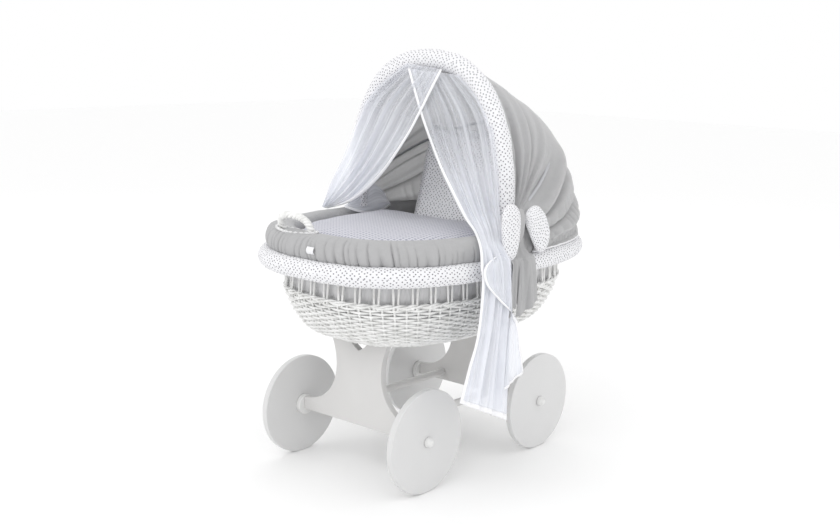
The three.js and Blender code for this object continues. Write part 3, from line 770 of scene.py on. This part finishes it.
# cross-section of the stuffed ring: outset from the rim's line and height, in mm
ringProfile = [(9, 553), (24, 548), (39, 550), (46, 562), (46, 580), (37, 596), (18, 604), (-4, 604),
               (-16, 598), (-21, 584), (-21, 560), (-18, 546), (-14, 548), (-12, 568), (-12, 588), (-2, 592),
               (7, 588), (8, 572), (9, 553)]


def buildBumperRing():
    # stuffed tube over the rim; its skirt is gathered, hardest along the lower edge and at the foot end
    s = ringSet

    def place(u, v):
        base = throughPoints([(*p, 0) for p in ringProfile], v)
        outside = ramp(base.x / 12)
        footEnd = ramp((-math.cos(math.tau * u) - 0.5) / 0.35)
        low = max(ramp((597 - base.y) / 34), 0.75 * footEnd) * outside + 0.3 * (1 - outside)
        uneven = 0.3 + 1.7 * abs(noise.noise(Vector((u * 47, 0, 3))))
        slant = footEnd * (base.y - 580) * 0.025 * math.copysign(1, u - 0.5)
        gather = s["gatherDepth"] * gathers(u * s["gathers"] + slant) * low * uneven
        puff = 2.6 * noise.noise(Vector((u * 24, v * 3, 7)))
        puff += 1.2 * noise.noise(Vector((u * 90, v * 6, 1)))
        outer = 1.0 if v < 0.62 else 0.2
        push = base.x + (s["footSwell"] * footEnd * outside + gather + puff) * outer
        return onLoop(u, s["halfLength"], s["halfWidth"], base.y + (0.5 * puff + footEnd) * outer, push)

    ring = mappedGrid("stuffedRing", (1500, 46), place, greyCotton, (2.1, 0.26), joined=True)
    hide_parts("bumper_ring")
    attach(ring, "basket")


def buildLining():
    # the loose cotton bag inside the wicker, seen between the stakes: half length, half width and height
    profile = [(272, 170, 356), (318, 208, 372), (340, 228, 410), (362, 247, 446), (370, 255, 480),
               (367, 252, 545)]

    def place(u, v):
        a, b, z = throughPoints(profile, v)
        fold = (1.6 * wave(u * 240, 1.0) + 3.0 * gathers(u * 210 + 2)) * ramp(v * 3)
        return onLoop(u, a, b, z, fold)

    # the lining wears the grey cotton painted paler, as painted light
    bag = mappedGrid("cottonLining", (520, 26), place, paintedLightLiningCotton, (2.05, 0.24), joined=True)
    modifier(bag, "SOLIDIFY", thickness=0.9 * mm, offset=-1)
    applied(bag)
    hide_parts("lining")
    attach(bag, "basket")


buildPaddedRoll()
buildBumperRing()
buildLining()
print("roll, ring and lining built")

beddingSet = {"centre": -130.0, "duvetLength": 345.0, "duvetWidth": 230.0, "mattressLength": 324.0,
              "mattressWidth": 212.0}
pillowSet = {"halfWidth": 168.0, "height": 388.0, "thick": 26.0, "footX": 78.0, "frontX": 55.0,
             "footZ": 472.0, "lean": 17.0, "cap": 13.0}


def pillowFront(z):
    # x of the pillow's front face at a height, in mm
    return pillowSet["frontX"] + math.tan(math.radians(pillowSet["lean"])) * (z - pillowSet["footZ"])


def buildDuvet():
    s = beddingSet
    # how far out from the middle, and the height, from the top centre down to the underside
    profile = [(0.0, 611), (0.25, 611), (0.5, 609.5), (0.72, 606), (0.88, 600), (0.965, 590), (1.0, 574),
               (1.0, 530), (0.985, 485), (0.95, 460), (0.85, 451), (0.5, 449), (0.0, 449)]

    def place(u, v):
        out, z, _ = throughPoints([(*p, 0) for p in profile], v)
        out = max(out, 0.0)
        rim = onLoop(u, s["duvetLength"], s["duvetWidth"], z)
        rim.x = min(rim.x, (pillowFront(z) - 6) * mm)
        middle = Vector((s["centre"] * mm, 0, rim.z))
        point = middle.lerp(rim, out)
        top = ramp((z - 560) / 40)
        swell = 3.2 * noise.noise(point * 9) + 1.6 * noise.noise(point * 24 + Vector((4, 0, 0)))
        dip = -2.5 * math.exp(-((point.y + 0.4 * point.x - 0.02) / 0.05) ** 2)
        point.z += (swell + dip - 2) * top * mm
        return point

    duvet = mappedGrid("waffleDuvet", (220, 90), place, waffleCotton, (1.5, 0.9), joined=True)
    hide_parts("duvet")
    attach(duvet, "basket")


def buildMattress():
    s = beddingSet
    profile = [(0.0, 444.5), (0.6, 444.5), (0.93, 443.5), (0.985, 440), (1.0, 434), (0.99, 415), (0.955, 398),
               (0.88, 376), (0.82, 360), (0.78, 357), (0.5, 356), (0.0, 356)]

    def place(u, v):
        out, z, _ = throughPoints([(*p, 0) for p in profile], v)
        out = max(out, 0.0)
        dimple = 1.2 * noise.noise(Vector((u * 40, v * 20, 3)))
        rim = onLoop(u, s["mattressLength"], s["mattressWidth"], z + dimple * ramp(out / 0.1))
        return Vector((0, 0, rim.z)).lerp(rim, out)

    mattress = mappedGrid("foamMattress", (120, 48), place, whiteCotton, (1.7, 0.8), joined=True)
    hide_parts("mattress")
    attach(mattress, "basket")


def puffUp(piece, voxel, cap, pressure=4.0):
    # blow a slab up into a stuffed cushion, with each point held to the cap, in metres
    piece.data.remesh_voxel_size = voxel
    with bpy.context.temp_override(object=piece, active_object=piece, selected_objects=[piece]):
        bpy.ops.object.voxel_remesh()
    start = [v.co.copy() for v in piece.data.vertices]
    cloth = piece.modifiers.new("Stuffing", "CLOTH")
    cloth.settings.use_pressure = True
    cloth.settings.uniform_pressure_force = pressure
    cloth.settings.effector_weights.gravity = 0
    cloth.settings.quality = 5
    cloth.point_cache.frame_start, cloth.point_cache.frame_end = 1, 20
    scene = bpy.context.scene
    for frameNumber in range(1, 21):
        scene.frame_set(frameNumber)
    applied(piece)
    for vert, first in zip(piece.data.vertices, start):
        move = vert.co - first
        if move.length > cap:
            vert.co = first + move.normalized() * cap
    scene.frame_set(1)
    modifier(piece, "SUBSURF", levels=1, render_levels=1)
    applied(piece)
    piece.data.shade_smooth()


def flatUv(piece, right, up):
    # cloth coordinates straight through the piece, in metres
    bm = bmesh.new()
    bm.from_mesh(piece.data)
    uvLayer = bm.loops.layers.uv.verify()
    for face in bm.faces:
        for loop in face.loops:
            loop[uvLayer].uv = (loop.vert.co.dot(right), loop.vert.co.dot(up))
    bm.to_mesh(piece.data)
    bm.free()


def buildPillow():
    s = pillowSet
    lean = math.radians(s["lean"])
    bm = bmesh.new()
    bmesh.ops.create_cube(bm, size=1)
    slab = Vector((s["thick"], 2 * (s["halfWidth"] - 12), s["height"] - 24)) * mm
    bmesh.ops.scale(bm, verts=bm.verts, vec=slab)
    corners = [e for e in bm.edges if abs(e.verts[0].co.x - e.verts[1].co.x) > 1e-6]
    bmesh.ops.bevel(bm, geom=corners, offset=18 * mm, affect="EDGES", segments=4, profile=0.5, material=-1)
    rims = [e for e in bm.edges if abs(e.verts[0].co.x - e.verts[1].co.x) < 1e-6]
    bmesh.ops.bevel(bm, geom=rims, offset=9 * mm, affect="EDGES", segments=3, profile=0.5, material=-1)
    bmesh.ops.translate(bm, verts=bm.verts, vec=(0, 0, s["height"] / 2 * mm))
    pillow = objectFrom(bm, "leaningPillow", dottedCotton)
    puffUp(pillow, 6 * mm, s["cap"] * mm)
    turn = Matrix.Rotation(lean, 4, "Y")
    for vert in pillow.data.vertices:
        # the sides pull in between the corners
        across = vert.co.y / (s["halfWidth"] * mm)
        along = vert.co.z / (s["height"] * mm) * 2 - 1
        vert.co.y *= 1 - 0.035 * (1 - along ** 2)
        vert.co.z -= 0.012 * (1 - across ** 2) * along * s["height"] * mm
        ripple = noise.noise(vert.co * 26) * 1.6 + noise.noise(vert.co * 9) * 2.4
        vert.co.x += ripple * mm * math.copysign(1, vert.co.x)
    pillow.data.transform(Matrix.Translation((s["footX"] * mm, 0, s["footZ"] * mm)) @ turn)
    flatUv(pillow, Vector((0, 1, 0)), Vector((math.sin(lean), 0, math.cos(lean))))
    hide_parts("pillow")
    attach(pillow, "basket")


buildDuvet()
buildMattress()
buildPillow()
print("bedding built")

# both bows turn on one line along Y, this high
pivotZ = 640.0
frontArch = {"halfWidth": 241.0, "height": 359.0, "power": 2.4}
rearAngle = math.radians(60)
padSet = {"radius": 25.0, "footZ": 600.0, "puff": 1.6, "gather": 1.1}


def archPoint(arch, t, angle, behind=0.0):
    # a point of an arch over the pivot line, turned back by angle, in mm; t runs 0 to pi
    y = -arch["halfWidth"] * signedPower(math.cos(t), 2 / arch["power"])
    radius = arch["height"] * signedPower(math.sin(t), 2 / arch["power"])
    return Vector((radius * math.sin(angle) + behind * math.cos(angle), y,
                   pivotZ + radius * math.cos(angle) - behind * math.sin(angle)))


def padLine(t):
    # the padded bow's middle line with straight legs below the pivot; t runs 0 to 1
    leg = 0.06
    if t < leg:
        return Vector((0, -frontArch["halfWidth"], mix(padSet["footZ"], pivotZ, t / leg)))
    if t > 1 - leg:
        return Vector((0, frontArch["halfWidth"], mix(padSet["footZ"], pivotZ, (1 - t) / leg)))
    return archPoint(frontArch, math.pi * (t - leg) / (1 - 2 * leg), 0)


def evenly(line, samples=600):
    # the same line with its parameter spread evenly along its length
    points = [line(i / samples) for i in range(samples + 1)]
    lengths = [0.0]
    for p, q in zip(points, points[1:]):
        lengths.append(lengths[-1] + (q - p).length)

    def at(t):
        target = min(max(t, 0.0), 1.0) * lengths[-1]
        i = min(max(bisect.bisect_right(lengths, target), 1), samples)
        span = max(lengths[i] - lengths[i - 1], 1e-9)
        return points[i - 1].lerp(points[i], (target - lengths[i - 1]) / span)
    return at, lengths[-1]


def buildBowPad():
    s = padSet
    line, length = evenly(padLine)
    around = math.tau * s["radius"]

    def place(u, v):
        here = line(u)
        along = (line(min(u + 0.004, 1)) - line(max(u - 0.004, 0))).normalized()
        side = Vector((1, 0, 0))
        inward = along.cross(side).normalized()
        angle = math.tau * v
        tip = 1 - max(0.0, 1 - min(u, 1 - u) / 0.012) ** 2
        ends = math.sqrt(max(tip, 0.0)) if min(u, 1 - u) > 0 else 0.0
        inner = 0.5 + 0.5 * math.cos(angle - math.pi / 2)
        pucker = s["gather"] * inner ** 2 * wave(u * 210, 0.3)
        pucker += s["puff"] * noise.noise(Vector((u * 34, math.cos(angle), math.sin(angle))))
        seam = -1.6 * math.exp(-((v - 0.25) / 0.014) ** 2)
        radius = (s["radius"] + pucker + seam) * ends
        return (here + side * radius * math.cos(angle) + inward * radius * math.sin(angle)) * mm

    pad = mappedGrid("dottedBowPad", (420, 32), place, dottedCotton, (length * mm, around * mm), joined=True)
    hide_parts("front_bow_pad")
    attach(pad, "hood_front")


canopySet = {"frontHeight": 362.0, "frontWidth": 252.0, "frontPower": 2.45, "frontBehind": 15.0,
             "rearHeight": 402.0, "rearWidth": 284.0, "rearPower": 2.15, "rearBehind": 0.0, "firstT": 0.03,
             "hemLength": 434.0, "hemWidth": 306.0, "hemZ": 556.0, "hemTurn": 88.0, "split": 0.52,
             "sag": 0.10, "sideFold": 15.0, "hemFold": 8.0, "bowFold": 6.0, "drift": 9.0, "bulge": 7.0,
             "thick": 1.3}


def canopyBase(u, v):
    # the tight canopy: from bow to bow up to the split, then down to the hem round the head end
    s = canopySet
    t = mix(s["firstT"], math.pi - s["firstT"], u)
    if v < s["split"]:
        k = v / s["split"]
        arch = {"halfWidth": mix(s["frontWidth"], s["rearWidth"], k),
                "height": mix(s["frontHeight"], s["rearHeight"], k),
                "power": mix(s["frontPower"], s["rearPower"], k)}
        arch["height"] *= 1 - s["sag"] * math.sin(math.pi * k) * math.sin(t) ** 2
        return archPoint(arch, t, k * rearAngle, mix(s["frontBehind"], s["rearBehind"], k))
    k = (v - s["split"]) / (1 - s["split"])
    rear = {"halfWidth": s["rearWidth"], "height": s["rearHeight"], "power": s["rearPower"]}
    top = archPoint(rear, t, rearAngle, s["rearBehind"])
    turn = mix(-1, 1, u) * math.radians(s["hemTurn"])
    hemX = max(s["hemLength"] * signedPower(math.cos(turn), 2 / ovalPower), 30)
    hemY = s["hemWidth"] * signedPower(math.sin(turn), 2 / ovalPower)
    spread = 1 - (1 - k) ** 2
    over = s["bulge"] * math.sin(math.pi * k ** 1.5)
    return Vector((mix(top.x, hemX, spread) + over * math.cos(turn),
                   mix(top.y, hemY, spread) + over * math.sin(turn), mix(top.z, s["hemZ"], k)))


def canopyPoint(u, v):
    # the same with its folds: a fan from the ribbon bow, gathers at the hem and puckers at the front
    s = canopySet
    base = canopyBase(u, v)
    out = (base - Vector((90, 0, 600))).normalized()
    side = min(u, 1 - u)
    fan = math.exp(-((side - 0.12) / 0.16) ** 2) * ramp(side / 0.05) * ramp(v / 0.08)
    slant = v * 30 + 5 * side + 1.5 * noise.noise(Vector((u * 5, v * 4, 2)))
    hemward = ramp((v - 0.66) / 0.3)
    move = fan * (0.45 * s["sideFold"] * wave(slant, 0.6 if u < 0.5 else 2.2)
                  + s["sideFold"] * gathers(0.62 * slant + (0.4 if u < 0.5 else 1.9), 2.0))
    sway = 1.5 * noise.noise(Vector((u * 6, v * 3, 5)))
    move += s["hemFold"] * hemward * gathers(u * 105 + sway, 2.0)
    move += s["bowFold"] * math.exp(-v / 0.07) * gathers(u * 70, 2.0)
    move += s["drift"] * noise.noise(base * 0.0055 + Vector((3, 1, 0))) * ramp(side / 0.08)
    puffed = 1 - 0.75 * ramp((v - 0.955) / 0.045)
    return (base + out * move * puffed) * mm


def buildCanopy():
    s = canopySet
    canopy = mappedGrid("hoodCanopy", (300, 150), canopyPoint, canopyCotton, (1.25, 0.8))
    modifier(canopy, "SOLIDIFY", thickness=s["thick"] * mm, offset=-1)
    applied(canopy)
    hem = rods("canopyHemPiping", [[canopyPoint(i / 260, 1.0) for i in range(261)]], 2.6 * mm, whiteCotton,
               roundness=2)
    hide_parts("canopy_front", "canopy_rear")
    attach(hem, "basket")
    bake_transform(canopy)


buildBowPad()
buildCanopy()
print("hood built")

# edges of the near curtain from the bow down to the ring, over it and down outside the basket, in mm
nearInner = [(-35, 44, 976), (-50, -13, 869), (-64, -80, 764), (-92, -140, 711), (-112, -208, 643),
             (-142, -264, 616), (-178, -308, 590), (-203, -332, 553), (-198, -333, 508), (-210, -333, 400),
             (-240, -333, 324), (-263, -331, 252)]
nearOuter = [(-22, -110, 965), (-25, -204, 878), (-28, -234, 778), (-29, -242, 722), (-33, -251, 662),
             (-50, -274, 614), (-88, -307, 594), (-86, -329, 556), (-80, -333, 491), (-86, -333, 413),
             (-84, -333, 300), (-82, -331, 168)]
# the outer edge folds forward over the curtain below the ring: its hem, and the line that it folds on
foldHem = [(-56, -282, 604), (-92, -308, 577), (-196, -341, 556), (-196, -343, 518), (-146, -343, 471),
           (-76, -343, 415), (-54, -341, 347), (-34, -339, 279)]
foldLine = [(-48, -276, 606), (-84, -306, 580), (-92, -332, 554), (-88, -334, 508), (-84, -335, 469),
            (-90, -336, 415), (-98, -337, 347), (-106, -338, 249)]
# the far curtain, inside and outside edges
farInner = [(-46, -76, 977), (-52, -14, 866), (-52, 32, 799), (-52, 111, 707), (-54, 202, 635),
            (-60, 294, 602)]
farOuter = [(-22, 60, 988), (-24, 180, 905), (-30, 222, 830), (-44, 250, 745), (-60, 284, 668),
            (-66, 306, 606)]
# the end of the far curtain hangs loose inside the basket
pouchHem = [(-77, 215, 614), (-25, 215, 597), (22, 215, 589), (65, 215, 592), (97, 215, 604)]
pouchTop = [(-70, 224, 618), (-32, 222, 634), (4, 220, 654), (32, 216, 668), (74, 215, 640)]
veilSet = {"thick": 0.5, "hemWidth": 7.0, "hemThick": 1.4, "bottomHem": 0.016}


def curtainPoint(inner, outer, folds, depth, facing):
    # ruled between two edges, with folds that run from the gather to the bow
    def place(u, v):
        a, b = throughPoints(inner, v), throughPoints(outer, v)
        spare = ramp(v / 0.12)
        crease = wave(u * folds + 0.8 * noise.noise(Vector((u * 3, v * 2.2, folds))), 0.5)
        edge = 0.25 + 0.75 * ramp(min(u, 1 - u) / 0.12)
        push = Vector(facing(v)) * depth(v) * crease * edge * (0.35 + 0.65 * spare)
        return (a.lerp(b, u) + push) * mm
    return place


def nearFacing(v):
    # the way the near curtain's folds stand out: forward under the bow, sideways below the ring
    k = ramp((v - 0.35) / 0.15)
    return (mix(-0.8, 0.0, k), mix(-0.55, -1.0, k), 0.0)


def nearDepth(v):
    # shallow where the cloth is pulled tight over the ring
    tight = math.exp(-((v - 0.48) / 0.09) ** 2)
    return mix(11.0, 2.0, tight)


nearPoint = curtainPoint(nearInner, nearOuter, 24.0, nearDepth, nearFacing)
pouchPoint = curtainPoint(pouchHem, pouchTop, 7.0, lambda v: 2.5, lambda v: (0, -1.0, 0))
farPoint = curtainPoint(farInner, farOuter, 20.0, lambda v: 9.0, lambda v: (-1.0, 0.1, 0))
foldPoint = curtainPoint(foldHem, foldLine, 9.0, lambda v: 3.0, lambda v: (0, -1.0, 0))


def edgeBand(name, place, side):
    # a narrow satin ribbon along one edge of a curtain, just proud of it on both faces
    width = veilSet["hemWidth"] * mm

    def onBand(along, across):
        if side == "bottom":
            return place(along, 1 - veilSet["bottomHem"] * across)
        a, b = place(0, along), place(1, along)
        share = min(width / max((b - a).length, 1e-4), 0.8)
        return place(share * across, along)

    band = mappedGrid(name, (240, 3), onBand, satin, (1.2, width))
    modifier(band, "SOLIDIFY", thickness=veilSet["hemThick"] * mm, offset=0)
    return applied(band)


def buildCurtain(name, place, net, nodes, counts, flat, bands, upper):
    # a curtain and its hems; the upper ones stretch between the moving bow and the basket
    curtain = mappedGrid(name, counts, place, net, flat)
    modifier(curtain, "SOLIDIFY", thickness=veilSet["thick"] * mm, offset=0)
    applied(curtain)
    hems = [edgeBand(f"{name}Hem_{side}", place, side) for side in bands]
    if nodes:
        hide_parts(*nodes)
    for piece in [curtain] + hems:
        if upper:
            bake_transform(piece)
        else:
            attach(piece, "basket")


buildCurtain("nearVeil", nearPoint, nearTulle, ["veil_near", "veil_tail"], (150, 260), (0.42, 1.2),
             ["inner", "bottom"], True)
buildCurtain("veilFold", foldPoint, gatheredTulle, [], (40, 120), (0.12, 0.42),
             ["inner", "bottom"], False)
buildCurtain("farVeil", farPoint, farTulle, ["veil_far"], (130, 160), (0.42, 0.6),
             ["inner"], True)
buildCurtain("veilPouch", pouchPoint, gatheredTulle, [], (40, 60), (0.2, 0.08),
             ["inner", "bottom"], False)
print("veil built")

knotSet = {"x": -50.0, "y": -321.0, "top": 668.0, "bottom": 588.0, "radius": 17.0, "drift": -8.0}


def buildLobe(name, node, outline, thick, seedPlace):
    # a stuffed loop of the bow: a ball drawn out along the outline's middle line, in mm
    line = [Vector(p[:3]) for p in outline]
    widths = [p[3] for p in outline]

    def place(u, v):
        here = throughPoints(line, v)
        width = throughPoints([(w, 0, 0) for w in widths], v).x
        ahead, behind = (throughPoints(line, min(max(v + step, 0), 1)) for step in (0.02, -0.02))
        along = (ahead - behind).normalized()
        across = along.cross(Vector((0, 1, 0))).normalized()
        ends = math.sqrt(max(0.0, 1 - abs(2 * v - 1) ** 4.5)) if 0 < v < 1 else 0.0
        angle = math.tau * u
        seed = Vector((math.cos(angle) * 1.5, math.sin(angle) * 1.5, v * 6 + seedPlace))
        pinch = 0.06 * wave(angle * 4 + seedPlace, 1.0) * math.exp(-min(v, 1 - v) / 0.12)
        fullness = ends * (1 + 0.05 * noise.noise(seed) + pinch)
        wide = across * width * math.cos(angle)
        deep = Vector((0, -thick * math.sin(angle), 0))
        return (here + (wide + deep) * fullness) * mm

    lobe = mappedGrid(name, (64, 56), place, dottedCotton, (0.17, 0.15), joined=True)
    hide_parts(node)
    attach(lobe, "basket")


def buildSash():
    # grey cloth pulled round the bow's middle, and its two pleated tails
    s = knotSet

    def knot(u, v):
        angle = math.tau * u
        ends = math.sqrt(max(0.0, 1 - abs(2 * v - 1) ** 2.6)) if 0 < v < 1 else 0.0
        r = s["radius"] * ends * (1 + 0.10 * wave(angle * 5, 0.4))
        return Vector((s["x"] + s["drift"] * (v - 0.5) + r * math.cos(angle),
                       s["y"] - 0.8 * r * math.sin(angle), mix(s["top"], s["bottom"], v))) * mm

    middle = mappedGrid("sashKnot", (64, 40), knot, greyCotton, (0.1, 0.1), joined=True)
    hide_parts("ribbon_knot")
    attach(middle, "basket")
    # y and height of the tails' middle line, out over the dotted roll and straight down
    drop = [(-305, 596), (-306, 575), (-314, 557), (-324, 545), (-327, 528), (-327, 470), (-326, 412)]
    # x of the edges at the top and bottom, fold phase, how much each edge is cut short, flat width in metres
    tails = (("sashTailFoot", "ribbon_tail_foot", (-76, -44), (-94, -48), 0.4, (0, 44), 0.05),
             ("sashTailHead", "ribbon_tail_head", (-48, -14), (-58, 22), 2.0, (0, 30), 0.065))
    for name, node, topX, bottomX, phase, shorter, cut in tails:
        def tail(u, v, topX=topX, bottomX=bottomX, phase=phase, shorter=shorter):
            y, z, _ = throughPoints([(*p, 0) for p in drop], v)
            x = mix(mix(topX[0], bottomX[0], v), mix(topX[1], bottomX[1], v), u)
            pleat = wave(u * 8 + 0.9 * math.sin(v * 4), phase)
            pleat += 0.8 * gathers(u * 6 + 0.5 * v + phase, 2.0)
            hang = ramp((v - 0.3) / 0.3)
            rise = mix(*shorter, u) * v ** 2
            return Vector((x, y - 5 - mix(2.5, 5.5, hang) * pleat,
                           z + rise + 4 * hang * v * math.sin(u * 5 + phase))) * mm

        piece = mappedGrid(name, (70, 90), tail, greyCotton, (0.16, 0.24))
        modifier(piece, "SOLIDIFY", thickness=1.4 * mm, offset=0)
        applied(piece)
        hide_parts(node)
        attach(piece, "basket")


# each lobe's middle line and its half width there, in mm
footLobe = [(-78, -321, 682, 24), (-82, -323, 656, 33), (-82, -324, 625, 34), (-80, -323, 590, 30),
            (-78, -321, 550, 22)]
headLobe = [(-10, -321, 660, 25), (4, -323, 645, 32), (19, -325, 624, 35), (35, -325, 597, 34),
            (50, -322, 558, 27)]
buildLobe("ribbonLobe_foot", "ribbon_lobe_foot", footLobe, 12, 1.0)
buildLobe("ribbonLobe_head", "ribbon_lobe_head", headLobe, 12, 6.0)
buildSash()
print("ribbon bow built")


labelSet = {"x": -427.5, "bulge": 4.0, "bottom": 568.0, "top": 585.0}


def buildLabel():
    # a small plain tape tag sewn flat on the ring
    s = labelSet
    low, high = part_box("blank_label")

    def place(u, v):
        return Vector(((s["x"] - s["bulge"] * math.sin(math.pi * v)) * mm, mix(high.y, low.y, u),
                       mix(s["bottom"], s["top"], v) * mm))

    tag = mappedGrid("plainTag", (12, 8), place, whiteCotton, (0.022, 0.016))
    modifier(tag, "SOLIDIFY", thickness=1.0 * mm, offset=-1)
    applied(tag)
    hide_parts("blank_label")
    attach(tag, "basket")


collarSet = {"middleX": 378.0, "halfDepth": 20.0, "halfLength": 66.0, "topZ": 608.0, "scallop": 1.2,
             "scallops": 24, "radius": 3.2}


def ringTop(x):
    # height of the ring's rounded top at a distance from the middle of the basket, in mm
    return collarSet["topZ"] - 0.016 * (x - collarSet["middleX"]) ** 2


def buildLaceCollar(name, end):
    # lace edging round the slit that the handle comes through
    s = collarSet
    low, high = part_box(f"handle_{name}")
    middleY = (low.y + high.y) / 2 / mm
    steps = 4 * s["scallops"]
    path = []
    for i in range(steps):
        angle = math.tau * i / steps
        outX = s["middleX"] + s["halfDepth"] * math.cos(angle)
        z = ringTop(outX) + s["scallop"] * math.cos(angle * s["scallops"])
        path.append(Vector((end * outX, middleY + s["halfLength"] * math.sin(angle), z)) * mm)
    collar = rods(f"laceCollar_{name}", [path], s["radius"] * mm, lace, cyclic=True, roundness=2)
    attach(collar, "basket")


buildLabel()
buildLaceCollar("foot", -1)
buildLaceCollar("head", 1)

# the metal that stays as the CAD made it: bows, hinge plates, bolts and screws
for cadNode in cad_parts.values():
    if not cadNode.hide_render:
        cadNode.data.materials.clear()
        cadNode.data.materials.append(zinc)
print("trims and fittings finished")
